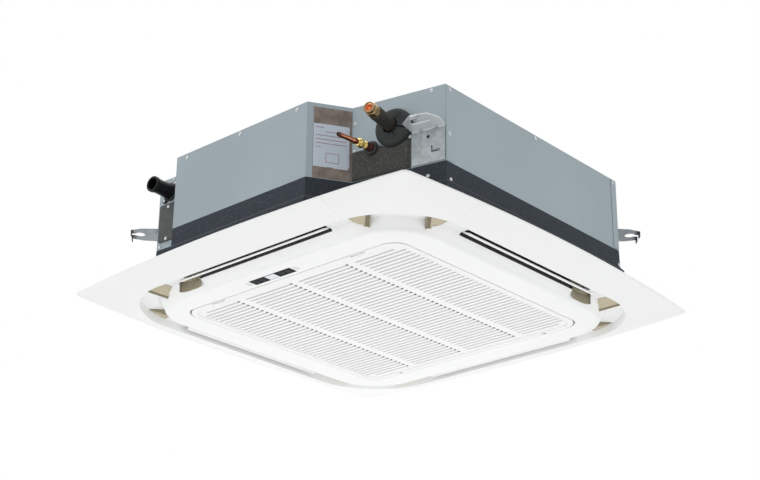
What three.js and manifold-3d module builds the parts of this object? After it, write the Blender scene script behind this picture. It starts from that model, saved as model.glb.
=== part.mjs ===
// Four-way ceiling cassette air conditioner: a sheet-metal body that hangs in the ceiling void
// on four rods, and a white moulded panel below it with four louvres round an intake grille.
// Millimetres. The origin is the centre of the ceiling plane, +Z goes up into the void,
// -Y is the side of the display and +X the side to the right of the pipe corner.
import * as THREE from 'three';
import { mergeVertices } from 'three/addons/utils/BufferGeometryUtils.js';
import Module from 'manifold-3d';

const wasm = await Module();
wasm.setup();

// ---------------------------------------------------------------- driving dimensions
const GAP = 0.3;                    // clearance between pieces that rest on each other

// body
const BODY_HALF = 420;
const BODY_TOP = 238;
const CASING_FOOT = 81;             // the steel casing stands on the foam drain pan here
const SHEET = 1.5;
const FOLD_DEPTH = 13;              // fold of the lid, inside the side sheets
const SEAM_WRAP = 13;               // a corner sheet laps this far round onto a side
const LINER_THICKNESS = 8;
// Each corner of the square is cut off by two facets that meet at a knee. These are the
// distances back from the square's corner, along X and along Y.
const CORNER_CUT_X = 231;
const CORNER_CUT_Y = 171;
const CORNER_KNEE_IN_X = 119;
const CORNER_KNEE_IN_Y = 55;
const PIPE_CUT_X = 241;
const PIPE_CUT_Y = 117;
const PIPE_KNEE_IN_X = 195;
const PIPE_KNEE_IN_Y = 76;
const DRAIN_RECESS = 58;            // the drain wall stands this far in from the display side
const DRAIN_RECESS_SLANT = 36;

// drain pan, moulded in foam
const PAN_BOTTOM = 10;
const PAN_FLARE = 8;
const PAN_FLARE_TOP = 44;
const PAN_FLARE_FOOT = 36;
const PAN_CLEARANCE = 12;           // from the impeller to the edge of the pan's opening
const TROUGH_DEPTH = 19.7;
const SUMP_DEPTH = 24;

// coil
const COIL_INSET = 114;             // from the body's side to the coil
const COIL_OUTER = BODY_HALF - COIL_INSET;
const COIL_DEPTH = 50;
const COIL_CORNER_R = 60;
const COIL_HEADROOM = 10;
const COIL_TOP = BODY_TOP - COIL_HEADROOM;
const FIN_PITCH = 32;
const FIN_RELIEF = 3;
const COIL_END_INSET = 94;          // the coil is open at the pipe corner, this far back
const COIL_END = COIL_OUTER - COIL_END_INSET;
const END_PLATE = 1.5;
const RETURN_BEND_R = 10;
const RETURN_TUBE_R = 4.5;
const RETURN_BENDS = 3;

// fan
const MOTOR_R = 72;
const MOTOR_HEIGHT = 66;
const MOTOR_FOOT_REACH = 96;
const MOTOR_FEET = 4;
const SHAFT_R = 6;
const SHAFT_LENGTH = 44;
const FAN_CLEARANCE = 30;           // between the impeller and the coil
const IMPELLER_R = COIL_OUTER - COIL_DEPTH - FAN_CLEARANCE;
const FAN_HEADROOM = 25;
const IMPELLER_PLATE_Z = BODY_TOP - FAN_HEADROOM;
const IMPELLER_BLADES = 8;
const BLADE_INNER_R = 138;
const BLADE_THICKNESS = 4;
const BLADE_SWEEP = 38;             // degrees that a blade falls back from root to tip
const SHROUD_WIDTH = 28;
const SHROUD_EYE_R = IMPELLER_R - SHROUD_WIDTH;
const SHROUD_EYE_Z = CASING_FOOT + 3;
const SHROUD_HEIGHT = 28;
const SHROUD_RIM_Z = SHROUD_EYE_Z + SHROUD_HEIGHT;
const IMPELLER_WALL = 2.5;
const HUB_R = 18;
const HUB_CLEARANCE = 18.5;         // between the motor and the hub's floor
const HUB_FLOOR_Z = BODY_TOP - SHEET - MOTOR_HEIGHT - HUB_CLEARANCE;
const HUB_LENGTH = 20;
const HUB_BOTTOM_Z = HUB_FLOOR_Z - HUB_LENGTH;
const DOME_R = 90;
const BELL_CLEARANCE = 8;           // between the bell mouth and the impeller's eye
const BELL_THROAT_R = SHROUD_EYE_R - BELL_CLEARANCE;
const BELL_SEAT = 24;               // the bell mouth's flange laps the pan by this much
const BELL_WALL = 2;

// pipes on the corner wall, as distances along the wall from its knee and out of it
const GAS_ALONG = 88;
const GAS_Z = 176;
const GAS_REACH = 91;
const GAS_PIPE_R = 8;
const GAS_BORE_R = 6.5;
const GAS_FOAM_R = 13.5;
const GAS_BOSS_R = 38;
const GAS_BOSS_SIDE = 5;            // the boss sits this far beside and below the pipe
const GAS_BOSS_DROP = 5;
const GAS_BOSS_DEPTH = 13;
const GAS_FOAM_END = 63;
const GAS_NUT_R = 13.5;
const LIQUID_ALONG = 46;
const LIQUID_Z = 139;
const LIQUID_REACH = 88;
const LIQUID_DRIFT = 28;            // the thin pipe leans back along the wall by this much
const LIQUID_PIPE_R = 4.8;
const LIQUID_NUT_R = 9;
const LIQUID_NUT_LENGTH = 16;
const GROMMET_R = 11;
const GROMMET_DEPTH = 8;
const WALL_FOAM = 5;
const WALL_FOAM_TOP = 142;
const WALL_FOAM_LENGTH = 126;

// drain
const DRAIN_ALONG = 33;
const DRAIN_Z = 205;
const DRAIN_REACH = 54;
const DRAIN_R = 15.5;
const DRAIN_BORE_R = 12.5;
const DRAIN_FLANGE_R = 20;
const PUMP_AT = COIL_OUTER;         // on the diagonal, just outside the coil's corner
const PUMP_R = 22;
const PUMP_HEIGHT = 78;
const HOSE_R = 8;
const HOSE_RISE_IN = 34;            // the hose rises this far in from the drain wall
const CUFF_R = 13;                  // the hose's cuff on the drain socket
const CUFF_LENGTH = 9;
const COVER_START = 5;              // the pump cover, along the drain wall
const COVER_END = 62;
const COVER_LIFT = 15;              // the cover starts this far above the drain pan
const COVER_DROP = 6;               // and ends this far below the socket's flange
const COVER_THICKNESS = 3;
const FLOAT_R = 10;
const FLOAT_HEIGHT = 14;
const FLOAT_IN_X = 75;
const FLOAT_IN_Y = 135;
const FLOAT_X = -(BODY_HALF - FLOAT_IN_X);
const FLOAT_Y = -(BODY_HALF - FLOAT_IN_Y);
const FLOAT_STEM_R = 2;

// hangers
const HANGER_Z = 154;
const HANGER_HOLE_R = 3.5;
const HANGER_HOLE_DROP = 18;
const HANGER_SHEET = 2;
const HANGER_WIDTH = 68;
const HANGER_REACH = 62;
const HANGER_BOLT_OUT = 44;
const HANGER_BOLT_SLOT = 11;
const HANGER_EYE_R = 11;
const HANGER_FINGER_DROP = 9;
const PIPE_HANGER_START = 130;      // along the pipe wall from its knee

// panel
const PANEL_COVER = 30;             // the panel's corners reach this far past the body
const PANEL_HALF = BODY_HALF + PANEL_COVER;
const PANEL_BOW = 25;               // each edge is this much further out at mid-side
const PANEL_CORNER_R = 10;
const RIM_DEPTH = 3.5;
const FRAME_WIDTH = 47;             // of the outer frame, in from the panel's corners
const LIP_HALF = PANEL_HALF - FRAME_WIDTH;
const LIP_CORNER_R = 165;
const LIP_Z = -24;
const ROOF_Z = -10;                 // roof of the air channel between frame and island
const LIP_SLOPE = 6;
const ROOF_OUTER = LIP_HALF - LIP_SLOPE;
const ROOF_WALL = 3;
const CHANNEL_WIDTH = 51;
const ISLAND_HALF = LIP_HALF - CHANNEL_WIDTH;
const ISLAND_SLOPE = 11;
const ROOF_INNER = ISLAND_HALF + ISLAND_SLOPE;
const ISLAND_Z = -35.5;
const ISLAND_ROUND = 8;
const ISLAND_WALL = 3;
const ISLAND_BORDER = 62;           // between the grille and the channel
const GRILLE_HALF = ISLAND_HALF - ISLAND_BORDER;
const GRILLE_CORNER_R = 34;
const GRILLE_GAP = 1.3;
const LIP_HEIGHT = 14;              // upstand round the grille opening
const COVER_REACH = 188;            // from the panel's corner to a cover's seam
const COVER_SEAM = PANEL_HALF - COVER_REACH;
const COVER_SKIN = 1.8;
const SIDE_STEPS = 4;
const CORNER_STEPS = 5;

// louvres
const SLOT_END_INSET = 43;          // from where the lip starts to turn
const SLOT_HALF = LIP_HALF - LIP_CORNER_R - SLOT_END_INSET;
const SLOT_INSET = 4;
const SLOT_INNER = ISLAND_HALF + SLOT_INSET;
const SLOT_OUTER = ROOF_OUTER + 1;
const SLOT_DIP = 6.5;               // the slot reaches this far down the island's slope
const LOUVRE_AXIS_INSET = 20;
const LOUVRE_AXIS_OUT = ISLAND_HALF + LOUVRE_AXIS_INSET;
const LOUVRE_AXIS_Z = -2;
const LOUVRE_DROP = 7.3;            // from the axis to the middle of the blade
const LOUVRE_BACK = 6;
const LOUVRE_REACH = 24;
const LOUVRE_THICKNESS = 2.4;
const LOUVRE_REST = 31.6;           // degrees that the blade is open at rest
const LOUVRE_PIN_R = 2;
const LOUVRE_LUG = 5;
const LOUVRE_END_GAP = 1;
const MOTOR_CAN = 16;
const SCOOP_OUT = ISLAND_HALF + 8;
const SCOOP_HALF_LENGTH = 31;
const SCOOP_HALF_WIDTH = 10;
const BRIDGE_HALF = 50;             // half the width of the bridge across the channel at a corner
const CORNER_OPENING_END = 41;      // degrees from the diagonal
const POCKET_STOP = 12;             // the liner's pocket ends this many degrees before the opening
const LINER_LAP = 18;               // the liner reaches this far in behind the island's edge
const LINER_INNER = ISLAND_HALF - LINER_LAP;
const LINER_OUTER = LIP_HALF - 1;

// grille
const GRILLE_DEPTH = 8;
const GRILLE_RIM = 16;
const SLAT_PITCH = 13.3;
const FIELD_MARGIN = 22;            // from the grille's edge to the first slat
const SLAT_COUNT = Math.floor((2 * (GRILLE_HALF - FIELD_MARGIN)) / SLAT_PITCH);
const SLAT_OPENING = 5.5;
const SLAT_LEAN = 6;
const RIB_PITCH = 149;
const RIB_WIDTH = 17;
const HINGE_INSET = 4;
const HINGE_FROM_EDGE = 90;
const HINGE_X = GRILLE_HALF - HINGE_FROM_EDGE;
const HINGE_EAR = 5;
const HINGE_PIN_R = 2;
const LATCH_FROM_EDGE = 100;
const LATCH_X = GRILLE_HALF - LATCH_FROM_EDGE;
const LATCH_LENGTH = 36;
const LATCH_WIDTH = 9;
const LATCH_TRAVEL = 5;
const LATCH_NECK_INSET = 12;        // from the grille's edge to the latch's neck
const LATCH_NECK = GRILLE_HALF - LATCH_NECK_INSET;
const FILTER_CLEARANCE = 10;        // between the filter and the latches' necks
const FILTER_HALF = LATCH_NECK - FILTER_CLEARANCE;
const FILTER_DEPTH = 4;
const FILTER_FRAME = 8;
const FILTER_BAYS = 4;
const FILTER_NET = 1;

// display
const DISPLAY_CENTRE_X = -10;
const DISPLAY_LENGTH = 111;
const DISPLAY_WIDTH = 22;
const DISPLAY_FROM_GRILLE = 22;
const DISPLAY_OUT = GRILLE_HALF + DISPLAY_FROM_GRILLE;
const DISPLAY_DEPTH = 2;

// electric box
const CONTROL_WIDTH = 70;
const CONTROL_HALF = 142;
const CONTROL_DEPTH = 24;

// ---------------------------------------------------------------- finishes
const finish = (color, roughness, metalness = 0) => ({ color, roughness, metalness });
const ZINC = finish(0x9aa7ad, 0.42, 0.7);
const WHITE = finish(0xf1f2f1, 0.35);
const CREAM = finish(0xd3c7a6, 0.75);
const SLATE = finish(0x39424c, 0.9);
const BLACK = finish(0x17181a, 0.7);
const BRASS = finish(0xb08a3e, 0.3, 1);
const COPPER = finish(0xa6663f, 0.35, 1);
const ALUMINIUM = finish(0xb9bdc0, 0.4, 0.9);
const STEEL = finish(0xb4b8ba, 0.35, 0.9);
const GREY_FOAM = finish(0xc9cbc8, 0.9);

// ---------------------------------------------------------------- solids
// Turns a closed geometry inside out where its faces point inwards.
function outward(geometry) {
  const place = geometry.attributes.position;
  const index = geometry.index.array;
  const a = new THREE.Vector3();
  const b = new THREE.Vector3();
  const c = new THREE.Vector3();
  let volume = 0;
  for (let i = 0; i < index.length; i += 3) {
    a.fromBufferAttribute(place, index[i]);
    b.fromBufferAttribute(place, index[i + 1]);
    c.fromBufferAttribute(place, index[i + 2]);
    volume += a.dot(b.cross(c));
  }
  if (volume < 0) {
    for (let i = 0; i < index.length; i += 3) {
      [index[i + 1], index[i + 2]] = [index[i + 2], index[i + 1]];
    }
  }
  return geometry;
}

function plain(geometry) {
  const copy = geometry.clone();
  copy.deleteAttribute('normal');
  copy.deleteAttribute('uv');
  return outward(mergeVertices(copy, 1e-4));
}

function solid(geometry) {
  const merged = plain(geometry);
  return new wasm.Manifold(new wasm.Mesh({
    numProp: 3,
    vertProperties: new Float32Array(merged.attributes.position.array),
    triVerts: new Uint32Array(merged.index.array),
  }));
}

function geometryOf(body) {
  const mesh = body.getMesh();
  const geometry = new THREE.BufferGeometry();
  geometry.setAttribute('position', new THREE.BufferAttribute(mesh.vertProperties, 3));
  geometry.setIndex(new THREE.BufferAttribute(mesh.triVerts, 1));
  return geometry;
}

function cut(geometry, ...tools) {
  return geometryOf(tools.reduce((body, tool) => body.subtract(solid(tool)), solid(geometry)));
}

function join(geometry, ...others) {
  return geometryOf(others.reduce((body, other) => body.add(solid(other)), solid(geometry)));
}

function common(geometry, other) {
  return geometryOf(solid(geometry).intersect(solid(other)));
}

function box(x0, x1, y0, y1, z0, z1) {
  const geometry = new THREE.BoxGeometry(Math.abs(x1 - x0), Math.abs(y1 - y0), Math.abs(z1 - z0));
  return geometry.translate((x0 + x1) / 2, (y0 + y1) / 2, (z0 + z1) / 2);
}

function post(radius, x, y, z0, z1, sides = 16) {
  const geometry = new THREE.CylinderGeometry(radius, radius, z1 - z0, sides).rotateX(Math.PI / 2);
  return geometry.translate(x, y, (z0 + z1) / 2);
}

// A bar along X.
function pinX(radius, x0, x1, y, z, sides = 8) {
  const geometry = new THREE.CylinderGeometry(radius, radius, Math.abs(x1 - x0), sides);
  return geometry.rotateZ(Math.PI / 2).translate((x0 + x1) / 2, y, z);
}

const shapeOf = (points) => new THREE.Shape(points.map(([x, y]) => new THREE.Vector2(x, y)));

function slab(points, z0, z1) {
  const geometry = new THREE.ExtrudeGeometry(shapeOf(points), { depth: z1 - z0, bevelEnabled: false });
  return geometry.translate(0, 0, z0);
}

// A round tube along a smooth curve through the points.
function tube(points, radius, steps = 12, sides = 10) {
  const section = [];
  for (let i = 0; i < sides; i += 1) {
    const turn = (i / sides) * 2 * Math.PI;
    section.push([radius * Math.cos(turn), radius * Math.sin(turn)]);
  }
  const curve = new THREE.CatmullRomCurve3(points.map((p) => new THREE.Vector3(...p)));
  const route = { steps, bevelEnabled: false, extrudePath: curve };
  return new THREE.ExtrudeGeometry(shapeOf(section), route);
}

// A body of revolution about Z; the profile is a list of [radius, z].
function turned(profile, sides = 32) {
  const closed = [...profile];
  const onAxis = profile[0][0] === 0 && profile[profile.length - 1][0] === 0;
  if (!onAxis) closed.push(profile[0]);
  const points = closed.map(([r, z]) => new THREE.Vector2(r, z));
  return new THREE.LatheGeometry(points, sides).rotateX(Math.PI / 2);
}

// A body of revolution laid along a horizontal direction from a start point.
function turnedAlong(profile, start, direction, sides = 20) {
  const geometry = turned(profile, sides);
  const turn = new THREE.Quaternion().setFromUnitVectors(
    new THREE.Vector3(0, 0, 1),
    new THREE.Vector3(...direction).normalize(),
  );
  return geometry.applyQuaternion(turn).translate(...start);
}

// Joins closed outlines of equal length, ring after ring. The last ring meets the first,
// so the body is a closed hoop.
function hoop(rings) {
  const count = rings[0].length;
  const position = rings.flat(2);
  const index = [];
  rings.forEach((ring, r) => {
    const next = (r + 1) % rings.length;
    for (let i = 0; i < count; i += 1) {
      const j = (i + 1) % count;
      index.push(r * count + i, r * count + j, next * count + j);
      index.push(r * count + i, next * count + j, next * count + i);
    }
  });
  const geometry = new THREE.BufferGeometry();
  geometry.setAttribute('position', new THREE.Float32BufferAttribute(position, 3));
  geometry.setIndex(index);
  return outward(geometry);
}

// The same with a flat lid on the first and last ring: a tapering block.
function taper(rings) {
  const count = rings[0].length;
  const position = rings.flat(2);
  const index = [];
  for (let r = 0; r + 1 < rings.length; r += 1) {
    for (let i = 0; i < count; i += 1) {
      const j = (i + 1) % count;
      const next = r + 1;
      index.push(r * count + i, r * count + j, next * count + j);
      index.push(r * count + i, next * count + j, next * count + i);
    }
  }
  const outline = rings[0].map(([x, y]) => new THREE.Vector2(x, y));
  const lid = THREE.ShapeUtils.triangulateShape(outline, []);
  const last = (rings.length - 1) * count;
  lid.forEach(([a, b, c]) => {
    index.push(a, c, b);
    index.push(last + a, last + b, last + c);
  });
  const geometry = new THREE.BufferGeometry();
  geometry.setAttribute('position', new THREE.Float32BufferAttribute(position, 3));
  geometry.setIndex(index);
  return outward(geometry);
}

// ---------------------------------------------------------------- outlines
// A rounded square whose sides may bow outwards, with the same number of points every time.
function roundedSquare(half, radius, bow = 0) {
  const points = [];
  const flat = half - radius;
  for (let side = 0; side < 4; side += 1) {
    const turn = (side * Math.PI) / 2;
    const place = (x, y) => {
      points.push([x * Math.cos(turn) - y * Math.sin(turn), x * Math.sin(turn) + y * Math.cos(turn)]);
    };
    for (let i = 0; i < SIDE_STEPS; i += 1) {
      const x = flat * (-1 + (2 * i) / SIDE_STEPS);
      place(x, -half - bow * (1 - (x / half) ** 2));
    }
    for (let i = 0; i < CORNER_STEPS; i += 1) {
      const angle = -Math.PI / 2 + (i / CORNER_STEPS) * (Math.PI / 2);
      place(flat + radius * Math.cos(angle), -flat + radius * Math.sin(angle));
    }
  }
  return points;
}

const atHeight = (outline, z) => outline.map(([x, y]) => [x, y, z]);

// Moves each edge of an outline outwards by a distance and meets the neighbours again.
function offsetOutline(points, distance) {
  const count = points.length;
  return points.map(([x, y], i) => {
    const [px, py] = points[(i + count - 1) % count];
    const [nx, ny] = points[(i + 1) % count];
    const before = Math.hypot(x - px, y - py);
    const after = Math.hypot(nx - x, ny - y);
    const ax = (y - py) / before;
    const ay = -(x - px) / before;
    const bx = (ny - y) / after;
    const by = -(nx - x) / after;
    const share = distance / (1 + ax * bx + ay * by);
    return [x + (ax + bx) * share, y + (ay + by) * share];
  });
}

const CORNER_START = BODY_HALF - CORNER_CUT_X;
const CORNER_END = BODY_HALF - CORNER_CUT_Y;
const KNEE_X = BODY_HALF - CORNER_KNEE_IN_X;
const KNEE_Y = BODY_HALF - CORNER_KNEE_IN_Y;

// The body's outline seen from above, counter-clockwise from the display side.
const BODY_POINTS = {
  leftStart: [-CORNER_START + SEAM_WRAP, -BODY_HALF],
  pipeStart: [BODY_HALF - PIPE_CUT_X, -BODY_HALF],
  pipeKnee: [BODY_HALF - PIPE_KNEE_IN_X, -BODY_HALF + PIPE_KNEE_IN_Y],
  pipeEnd: [BODY_HALF, -BODY_HALF + PIPE_CUT_Y],
  pipeLap: [BODY_HALF, -BODY_HALF + PIPE_CUT_Y + SEAM_WRAP],
  rightLap: [BODY_HALF, CORNER_END - SEAM_WRAP],
  rightStart: [BODY_HALF, CORNER_END],
  rightKnee: [KNEE_X, KNEE_Y],
  rightEnd: [CORNER_START, BODY_HALF],
  rearStart: [CORNER_START - SEAM_WRAP, BODY_HALF],
  rearEnd: [-CORNER_START + SEAM_WRAP, BODY_HALF],
  farStart: [-CORNER_START, BODY_HALF],
  farKnee: [-KNEE_X, KNEE_Y],
  farEnd: [-BODY_HALF, CORNER_END],
  backStart: [-BODY_HALF, CORNER_END - SEAM_WRAP],
  backEnd: [-BODY_HALF, -CORNER_END + SEAM_WRAP],
  drainStart: [-BODY_HALF, -CORNER_END],
  drainKnee: [-KNEE_X, -KNEE_Y],
  drainInner: [-CORNER_START - DRAIN_RECESS_SLANT, -BODY_HALF + DRAIN_RECESS],
  drainEnd: [-CORNER_START, -BODY_HALF],
};
const POINT_NAMES = Object.keys(BODY_POINTS);
const BODY_OUTLINE = Object.values(BODY_POINTS);
const INNER_OUTLINE = offsetOutline(BODY_OUTLINE, -SHEET);

// A frame on a body wall: along it, out of it, and the point at a distance from its start.
function wallFrame(from, to) {
  const [ax, ay] = BODY_POINTS[from];
  const [bx, by] = BODY_POINTS[to];
  const length = Math.hypot(bx - ax, by - ay);
  const along = [(bx - ax) / length, (by - ay) / length];
  const out = [along[1], -along[0]];
  const at = (u, v, z) => [ax + along[0] * u + out[0] * v, ay + along[1] * u + out[1] * v, z];
  return { length, along, out, at };
}

const PIPE_WALL = wallFrame('pipeKnee', 'pipeEnd');
const DRAIN_WALL = wallFrame('drainKnee', 'drainInner');

// Lays a geometry that is drawn with X along the wall, Y into the wall and Z up.
function onWall(geometry, wall, along, z = 0) {
  const turn = Math.atan2(wall.along[1], wall.along[0]);
  const [x, y] = wall.at(along, 0, 0);
  return geometry.rotateZ(turn).translate(x, y, z);
}

// ---------------------------------------------------------------- scene graph
const cassette = new THREE.Group();

function add(name, geometry, look) {
  const mesh = new THREE.Mesh(geometry, new THREE.MeshStandardMaterial(look));
  mesh.name = name;
  cassette.add(mesh);
  return mesh;
}

// ---------------------------------------------------------------- casing
// A sheet that follows the body's outline from one named point to another.
function casingSheet(from, to) {
  const start = POINT_NAMES.indexOf(from);
  const stop = POINT_NAMES.indexOf(to);
  const count = (stop - start + POINT_NAMES.length) % POINT_NAMES.length;
  const outer = [];
  const inner = [];
  for (let i = 0; i <= count; i += 1) {
    const k = (start + i) % POINT_NAMES.length;
    outer.push(BODY_OUTLINE[k]);
    inner.unshift(INNER_OUTLINE[k]);
  }
  return slab([...outer, ...inner], CASING_FOOT, BODY_TOP - SHEET);
}

const wallHole = (wall, along, z, radius) => turnedAlong(
  [[0, -20], [radius, -20], [radius, 20], [0, 20]],
  wall.at(along, 0, z),
  [...wall.out, 0],
  12,
);

function topPlate() {
  const plate = slab(BODY_OUTLINE, BODY_TOP - SHEET, BODY_TOP);
  const foldOuter = offsetOutline(BODY_OUTLINE, -SHEET - GAP);
  const foldInner = offsetOutline(BODY_OUTLINE, -2 * SHEET - GAP);
  const low = BODY_TOP - SHEET - FOLD_DEPTH;
  const fold = hoop([
    atHeight(foldOuter, low),
    atHeight(foldOuter, BODY_TOP - SHEET / 2),
    atHeight(foldInner, BODY_TOP - SHEET / 2),
    atHeight(foldInner, low),
  ]);
  return join(plate, fold);
}

function foamLiner() {
  const outer = offsetOutline(BODY_OUTLINE, -SHEET - GAP);
  const inner = offsetOutline(BODY_OUTLINE, -SHEET - GAP - LINER_THICKNESS);
  const top = BODY_TOP - SHEET - FOLD_DEPTH - GAP;
  const bottom = CASING_FOOT + GAP;
  const ring = hoop([atHeight(outer, bottom), atHeight(outer, top), atHeight(inner, top), atHeight(inner, bottom)]);
  return cut(
    ring,
    wallHole(PIPE_WALL, GAS_ALONG, GAS_Z, GAS_FOAM_R + 2),
    wallHole(PIPE_WALL, LIQUID_ALONG, LIQUID_Z, LIQUID_PIPE_R + 2),
    wallHole(DRAIN_WALL, DRAIN_ALONG, DRAIN_Z, DRAIN_R + 1),
  );
}

add('top_plate', topPlate(), ZINC);
add('left_sheet', casingSheet('leftStart', 'pipeKnee'), ZINC);
add('right_sheet', casingSheet('pipeLap', 'rightLap'), ZINC);
add('rear_sheet', casingSheet('rearStart', 'rearEnd'), ZINC);
add('back_sheet', casingSheet('backStart', 'backEnd'), ZINC);
const pipeSheet = cut(
  casingSheet('pipeKnee', 'pipeLap'),
  wallHole(PIPE_WALL, GAS_ALONG, GAS_Z, GAS_FOAM_R + 1),
  wallHole(PIPE_WALL, LIQUID_ALONG, LIQUID_Z, LIQUID_PIPE_R + 1),
);
add('pipe_corner_sheet', pipeSheet, ZINC);
const drainSheet = cut(casingSheet('backEnd', 'leftStart'), wallHole(DRAIN_WALL, DRAIN_ALONG, DRAIN_Z, DRAIN_R - 1));
add('drain_corner_sheet', drainSheet, ZINC);
add('right_corner_sheet', casingSheet('rightLap', 'rearStart'), ZINC);
add('far_corner_sheet', casingSheet('rearEnd', 'backStart'), ZINC);
add('foam_liner', foamLiner(), GREY_FOAM);

// ---------------------------------------------------------------- drain pan
const PAN_FLOOR = CASING_FOOT - TROUGH_DEPTH;
const DUCT_OUTER = SLOT_OUTER + 6;
const DUCT_INNER = SLOT_INNER - 10;
const DUCT_HALF = SLOT_HALF - 8;

function turnedQuarters(geometry) {
  return [0, 1, 2, 3].map((quarter) => geometry.clone().rotateZ((quarter * Math.PI) / 2));
}

function drainPan() {
  const foot = offsetOutline(BODY_OUTLINE, PAN_FLARE);
  const shoulder = offsetOutline(BODY_OUTLINE, 0.8);
  const block = taper([
    atHeight(foot, PAN_BOTTOM),
    atHeight(foot, PAN_FLARE_FOOT),
    atHeight(shoulder, PAN_FLARE_TOP),
    atHeight(BODY_OUTLINE, CASING_FOOT),
  ]);
  const troughOuter = roundedSquare(COIL_OUTER + 8, COIL_CORNER_R + 8);
  const troughInner = roundedSquare(COIL_OUTER - COIL_DEPTH - 6, COIL_CORNER_R - COIL_DEPTH + 18);
  const trough = hoop([
    atHeight(troughOuter, PAN_FLOOR),
    atHeight(troughOuter, CASING_FOOT + 5),
    atHeight(troughInner, CASING_FOOT + 5),
    atHeight(troughInner, PAN_FLOOR),
  ]);
  const duct = box(-DUCT_HALF, DUCT_HALF, -DUCT_OUTER, -DUCT_INNER, PAN_BOTTOM - 5, CASING_FOOT + 5);
  const opening = post(IMPELLER_R + PAN_CLEARANCE, 0, 0, PAN_BOTTOM - 5, CASING_FOOT + 5, 32);
  const sumpFloor = CASING_FOOT - SUMP_DEPTH;
  const sump = post(PUMP_R + 7, -PUMP_AT, -PUMP_AT, sumpFloor, CASING_FOOT + 5, 12);
  const floatWell = post(FLOAT_R + 6, FLOAT_X, FLOAT_Y, sumpFloor, CASING_FOOT + 5, 12);
  return cut(block, trough, opening, ...turnedQuarters(duct), sump, floatWell);
}

add('drain_pan', drainPan(), SLATE);

// ---------------------------------------------------------------- coil
// The finned block: a rounded square hoop with a sawtooth of fins outside,
// open at the pipe corner.
function coilBlock() {
  const outline = [];
  const flat = COIL_OUTER - COIL_CORNER_R;
  const teeth = Math.floor((2 * flat) / FIN_PITCH);
  for (let side = 0; side < 4; side += 1) {
    const turn = (side * Math.PI) / 2;
    const place = (x, y) => {
      outline.push([x * Math.cos(turn) - y * Math.sin(turn), x * Math.sin(turn) + y * Math.cos(turn)]);
    };
    for (let i = 0; i < teeth; i += 1) {
      const x = -flat + (2 * flat * i) / teeth;
      place(x, -COIL_OUTER + FIN_RELIEF);
      place(x + flat / teeth, -COIL_OUTER);
    }
    for (let i = 0; i < CORNER_STEPS; i += 1) {
      const angle = -Math.PI / 2 + (i / CORNER_STEPS) * (Math.PI / 2);
      const radius = COIL_CORNER_R - (i % 2 === 0 ? FIN_RELIEF : 0);
      place(flat + radius * Math.cos(angle), -flat + radius * Math.sin(angle));
    }
  }
  const inside = roundedSquare(COIL_OUTER - COIL_DEPTH, COIL_CORNER_R - COIL_DEPTH + 12);
  const bottom = PAN_FLOOR + GAP;
  const reach = COIL_OUTER + 10;
  return cut(
    slab(outline, bottom, COIL_TOP),
    slab(inside, bottom - 5, COIL_TOP + 5),
    box(COIL_END, reach, -reach, -COIL_END, bottom - 5, COIL_TOP + 5),
  );
}

// A plate at the cut end with its return bends, drawn for the leg along the display side.
function coilEndPlate() {
  const bottom = PAN_FLOOR + GAP;
  const near = COIL_END + GAP;
  const inner = COIL_OUTER - COIL_DEPTH + 2;
  const outer = COIL_OUTER - FIN_RELIEF;
  const plate = box(near, near + END_PLATE, -outer, -inner, bottom, COIL_TOP);
  const bends = [];
  const pitch = (COIL_TOP - bottom) / RETURN_BENDS;
  for (let i = 0; i < RETURN_BENDS; i += 1) {
    const z = bottom + (i + 0.5) * pitch;
    const y = -(inner + outer) / 2 + (i % 2 === 0 ? 9 : -9);
    const start = near + END_PLATE / 2;
    const reach = near + END_PLATE + 18;
    bends.push(tube([
      [start, y, z - RETURN_BEND_R],
      [reach - 6, y, z - RETURN_BEND_R],
      [reach, y, z],
      [reach - 6, y, z + RETURN_BEND_R],
      [start, y, z + RETURN_BEND_R],
    ], RETURN_TUBE_R, 4, 6));
  }
  return join(plate, ...bends);
}

add('coil', coilBlock(), ALUMINIUM);
add('coil_end_plate_left', coilEndPlate(), ALUMINIUM);
const mirrorPlate = coilEndPlate().applyMatrix4(new THREE.Matrix4().set(
  0, -1, 0, 0,
  -1, 0, 0, 0,
  0, 0, 1, 0,
  0, 0, 0, 1,
));
add('coil_end_plate_right', outward(mirrorPlate), ALUMINIUM);

// ---------------------------------------------------------------- refrigerant pipes
const PIPE_INSIDE = 42;             // how far the pipes reach in behind the corner wall

function gasPipe() {
  const outer = [
    [0, -PIPE_INSIDE],
    [GAS_PIPE_R, -PIPE_INSIDE],
    [GAS_PIPE_R, GAS_REACH - 2],
    [GAS_BORE_R, GAS_REACH - 2],
    [GAS_BORE_R, GAS_FOAM_END],
    [0, GAS_FOAM_END],
  ];
  return turnedAlong(outer, PIPE_WALL.at(GAS_ALONG, 0, GAS_Z), [...PIPE_WALL.out, 0], 12);
}

// The foam sleeve of the gas pipe and the thick foam boss on the wall that it passes through.
function gasInsulation() {
  const bore = GAS_PIPE_R + GAP;
  const out = [...PIPE_WALL.out, 0];
  const sleeve = turnedAlong([
    [bore, -PIPE_INSIDE + 10],
    [GAS_FOAM_R, -PIPE_INSIDE + 10],
    [GAS_FOAM_R, GAS_FOAM_END - 2],
    [GAS_FOAM_R - 2, GAS_FOAM_END],
    [bore, GAS_FOAM_END],
  ], PIPE_WALL.at(GAS_ALONG, 0, GAS_Z), out, 12);
  const boss = turnedAlong([
    [0, GAP],
    [GAS_BOSS_R, GAP],
    [GAS_BOSS_R, GAS_BOSS_DEPTH - 3],
    [GAS_BOSS_R - 3, GAS_BOSS_DEPTH],
    [0, GAS_BOSS_DEPTH],
  ], PIPE_WALL.at(GAS_ALONG + GAS_BOSS_SIDE, 0, GAS_Z - GAS_BOSS_DROP), out, 20);
  return join(cut(boss, wallHole(PIPE_WALL, GAS_ALONG, GAS_Z, GAS_FOAM_R - 1)), sleeve);
}

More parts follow.
